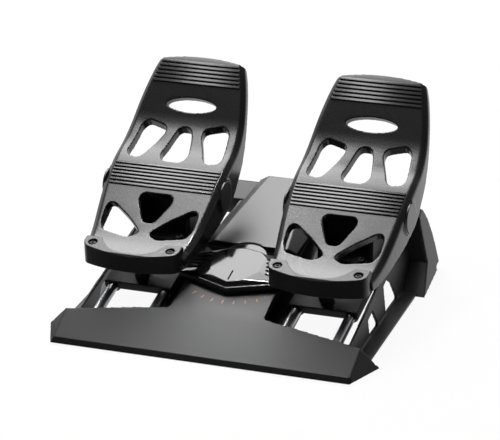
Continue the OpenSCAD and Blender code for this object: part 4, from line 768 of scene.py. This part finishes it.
# Pieces that keep their solid's form: a merged copy whose edges are melted round, as a mould leaves them
meltSettings = {
    # start of the node's name: voxel in mm, rounds of smoothing, share of the faces kept
    "front_cover": (0.85, 5, 0.4), "rear_bridge": (0.95, 5, 0.35), "spine_cover": (0.8, 5, 0.35),
    "side_frame": (0.8, 4, 0.35), "carriage": (0.75, 4, 0.35), "pivot_pillar": (0.6, 4, 0.35),
    "heel_rest": (0.42, 4, 0.35), "pointer_hood": (0.5, 8, 0.45), "pivot_caps": (0.32, 5, 0.4),
    "heel_stop": (0.5, 4, 0.4), "rocker_arm": (0.6, 3, 0.35), "center_beam": (0.9, 3, 0.3),
    "rubber_feet": (0.5, 3, 0.3), "cable_gland": (0.4, 3, 0.4),
}
# Turned and pressed pieces: the radius of their edges in mm, and the widest angle that is shaded smooth
edgeSettings = {
    "guide_rails": (0.4, 40), "bottom_cover": (0.3, 30), "brake_spring": (0, 60),
    "centering_spring": (0, 60), "heel_screws": (0.2, 30), "brake_axle": (0.3, 30),
    "brake_sensor": (0.3, 30), "slide_bushes": (0.2, 30), "pivot_bushes": (0.2, 30),
    "drive_pin": (0.3, 30), "pillar_screws": (0.2, 30), "bottom_screws": (0.2, 30),
    "hood_screws": (0.2, 30), "rocker_bearing": (0.2, 30), "rocker_retainer": (0.2, 30),
    "rudder_sensor": (0.3, 30),
}
# For both: how near points are merged in mm, the angle up to which faces count as flat and the angle up to
# which moulded pieces are shaded smooth in degrees, and the shortest edge that is rounded, in radii
copySettings = {"merge": 0.002, "flatAngle": 0.4, "smoothAngle": 40, "shortest": 2.2}
# The slope in which the rails lie: its foot in millimetres and its angle in degrees
railSettings = {"foot": (0, -74.593, 17), "slope": 11.5}
railPlace = Matrix.Translation([v * mm for v in railSettings["foot"]]) @ Matrix.Rotation(
    math.radians(railSettings["slope"]), 4, "X")


def mergedCopy(nodeName):
    bm = bmesh.new()
    bm.from_mesh(nodes[nodeName].data)
    bmesh.ops.remove_doubles(bm, verts=bm.verts, dist=copySettings["merge"] * mm)
    return bm


# The beam's flanges close the gap to the rails: all in millimetres, in the rails' slope
flangeSettings = {
    "low": -10.4, "high": -8.4, "corner": 1.5,
    "outline": ((30, -27), (70, -27), (70, -2), (66, 2), (66, 150), (30, 150)),
}


def addFlanges(piece):
    s = flangeSettings
    for side in (-1, 1):
        outline = [(side * x, y) for x, y in s["outline"]]
        combine(piece, prism("flange", outline, s["low"], s["high"], railPlace, s["corner"]), "UNION")


# The groove that points forward on the hood: millimetres in the rails' slope, half is half its width
grooveSettings = {"half": 0.75, "start": 27, "end": 41.5, "floor": 22.3, "high": 30, "corner": 0.7}


def cutGroove(piece):
    s = grooveSettings
    outline = rectangle(-s["half"], s["half"], s["start"], s["end"])
    combine(piece, prism("groove", outline, s["floor"], s["high"], railPlace, s["corner"]), "DIFFERENCE")


# The crescent through the heel rest's rim leaves a thin front: y = front + depth * (x / half) ^ power, in
# millimetres from the heel, and the cut goes on to back
crescentSettings = {
    "half": 34, "front": -2.2, "depth": 21.5, "power": 3, "back": 40, "low": -2, "high": 20, "steps": 28,
}


def cutCrescent(piece, side):
    s = crescentSettings
    shares = [2 * i / s["steps"] - 1 for i in range(s["steps"] + 1)]
    outline = [(s["half"] * k, s["front"] + s["depth"] * abs(k) ** s["power"]) for k in shares]
    outline += [(s["half"], s["back"]), (-s["half"], s["back"])]
    place = Matrix.Translation(((side - 1) * pedalSettings["axle"][0] * mm, 0, 0)) @ heelPlace
    combine(piece, prism("crescent", outline, s["low"], s["high"], place), "DIFFERENCE")


def meltedCopy(nodeName, voxelMm, rounds, keep):
    piece = keepMesh(nodeName + "_moulded", mergedCopy(nodeName))
    if nodeName == "center_beam":
        addFlanges(piece)
    if nodeName.startswith("heel_rest"):
        cutCrescent(piece, 1 if nodeName.endswith("right") else -1)
    moulded(piece, voxelMm, rounds, keep)
    if nodeName == "pointer_hood":
        cutGroove(piece)
    finishPiece(piece, nodes[nodeName]["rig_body"], slots[nodeName], copySettings["smoothAngle"], nodeName)


def edgedCopy(nodeName, radiusMm, smoothAngle):
    s = copySettings
    bm = mergedCopy(nodeName)
    bmesh.ops.dissolve_limit(bm, angle_limit=math.radians(s["flatAngle"]), verts=bm.verts, edges=bm.edges,
                             delimit={"NORMAL"})
    if radiusMm:
        shortest = s["shortest"] * radiusMm * mm
        sharp = [e for e in bm.edges if len(e.link_faces) == 2 and e.is_convex
                 and e.calc_face_angle() > math.radians(smoothAngle) and e.calc_length() > shortest]
        bmesh.ops.bevel(bm, geom=sharp, offset=radiusMm * mm, offset_type="OFFSET", affect="EDGES",
                        segments=2, profile=0.5, material=-1, clamp_overlap=True)
    piece = keepMesh(nodeName + "_edged", bm)
    finishPiece(piece, nodes[nodeName]["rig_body"], slots[nodeName], smoothAngle, nodeName)


for nodeName in sorted(nodes):
    nodes[nodeName].data.materials.clear()
    nodes[nodeName].data.materials.append(finishes[slots[nodeName]])
    for settings, make in ((meltSettings, meltedCopy), (edgeSettings, edgedCopy)):
        for start, values in settings.items():
            if nodeName.startswith(start):
                make(nodeName, *values)
print("copies finished")
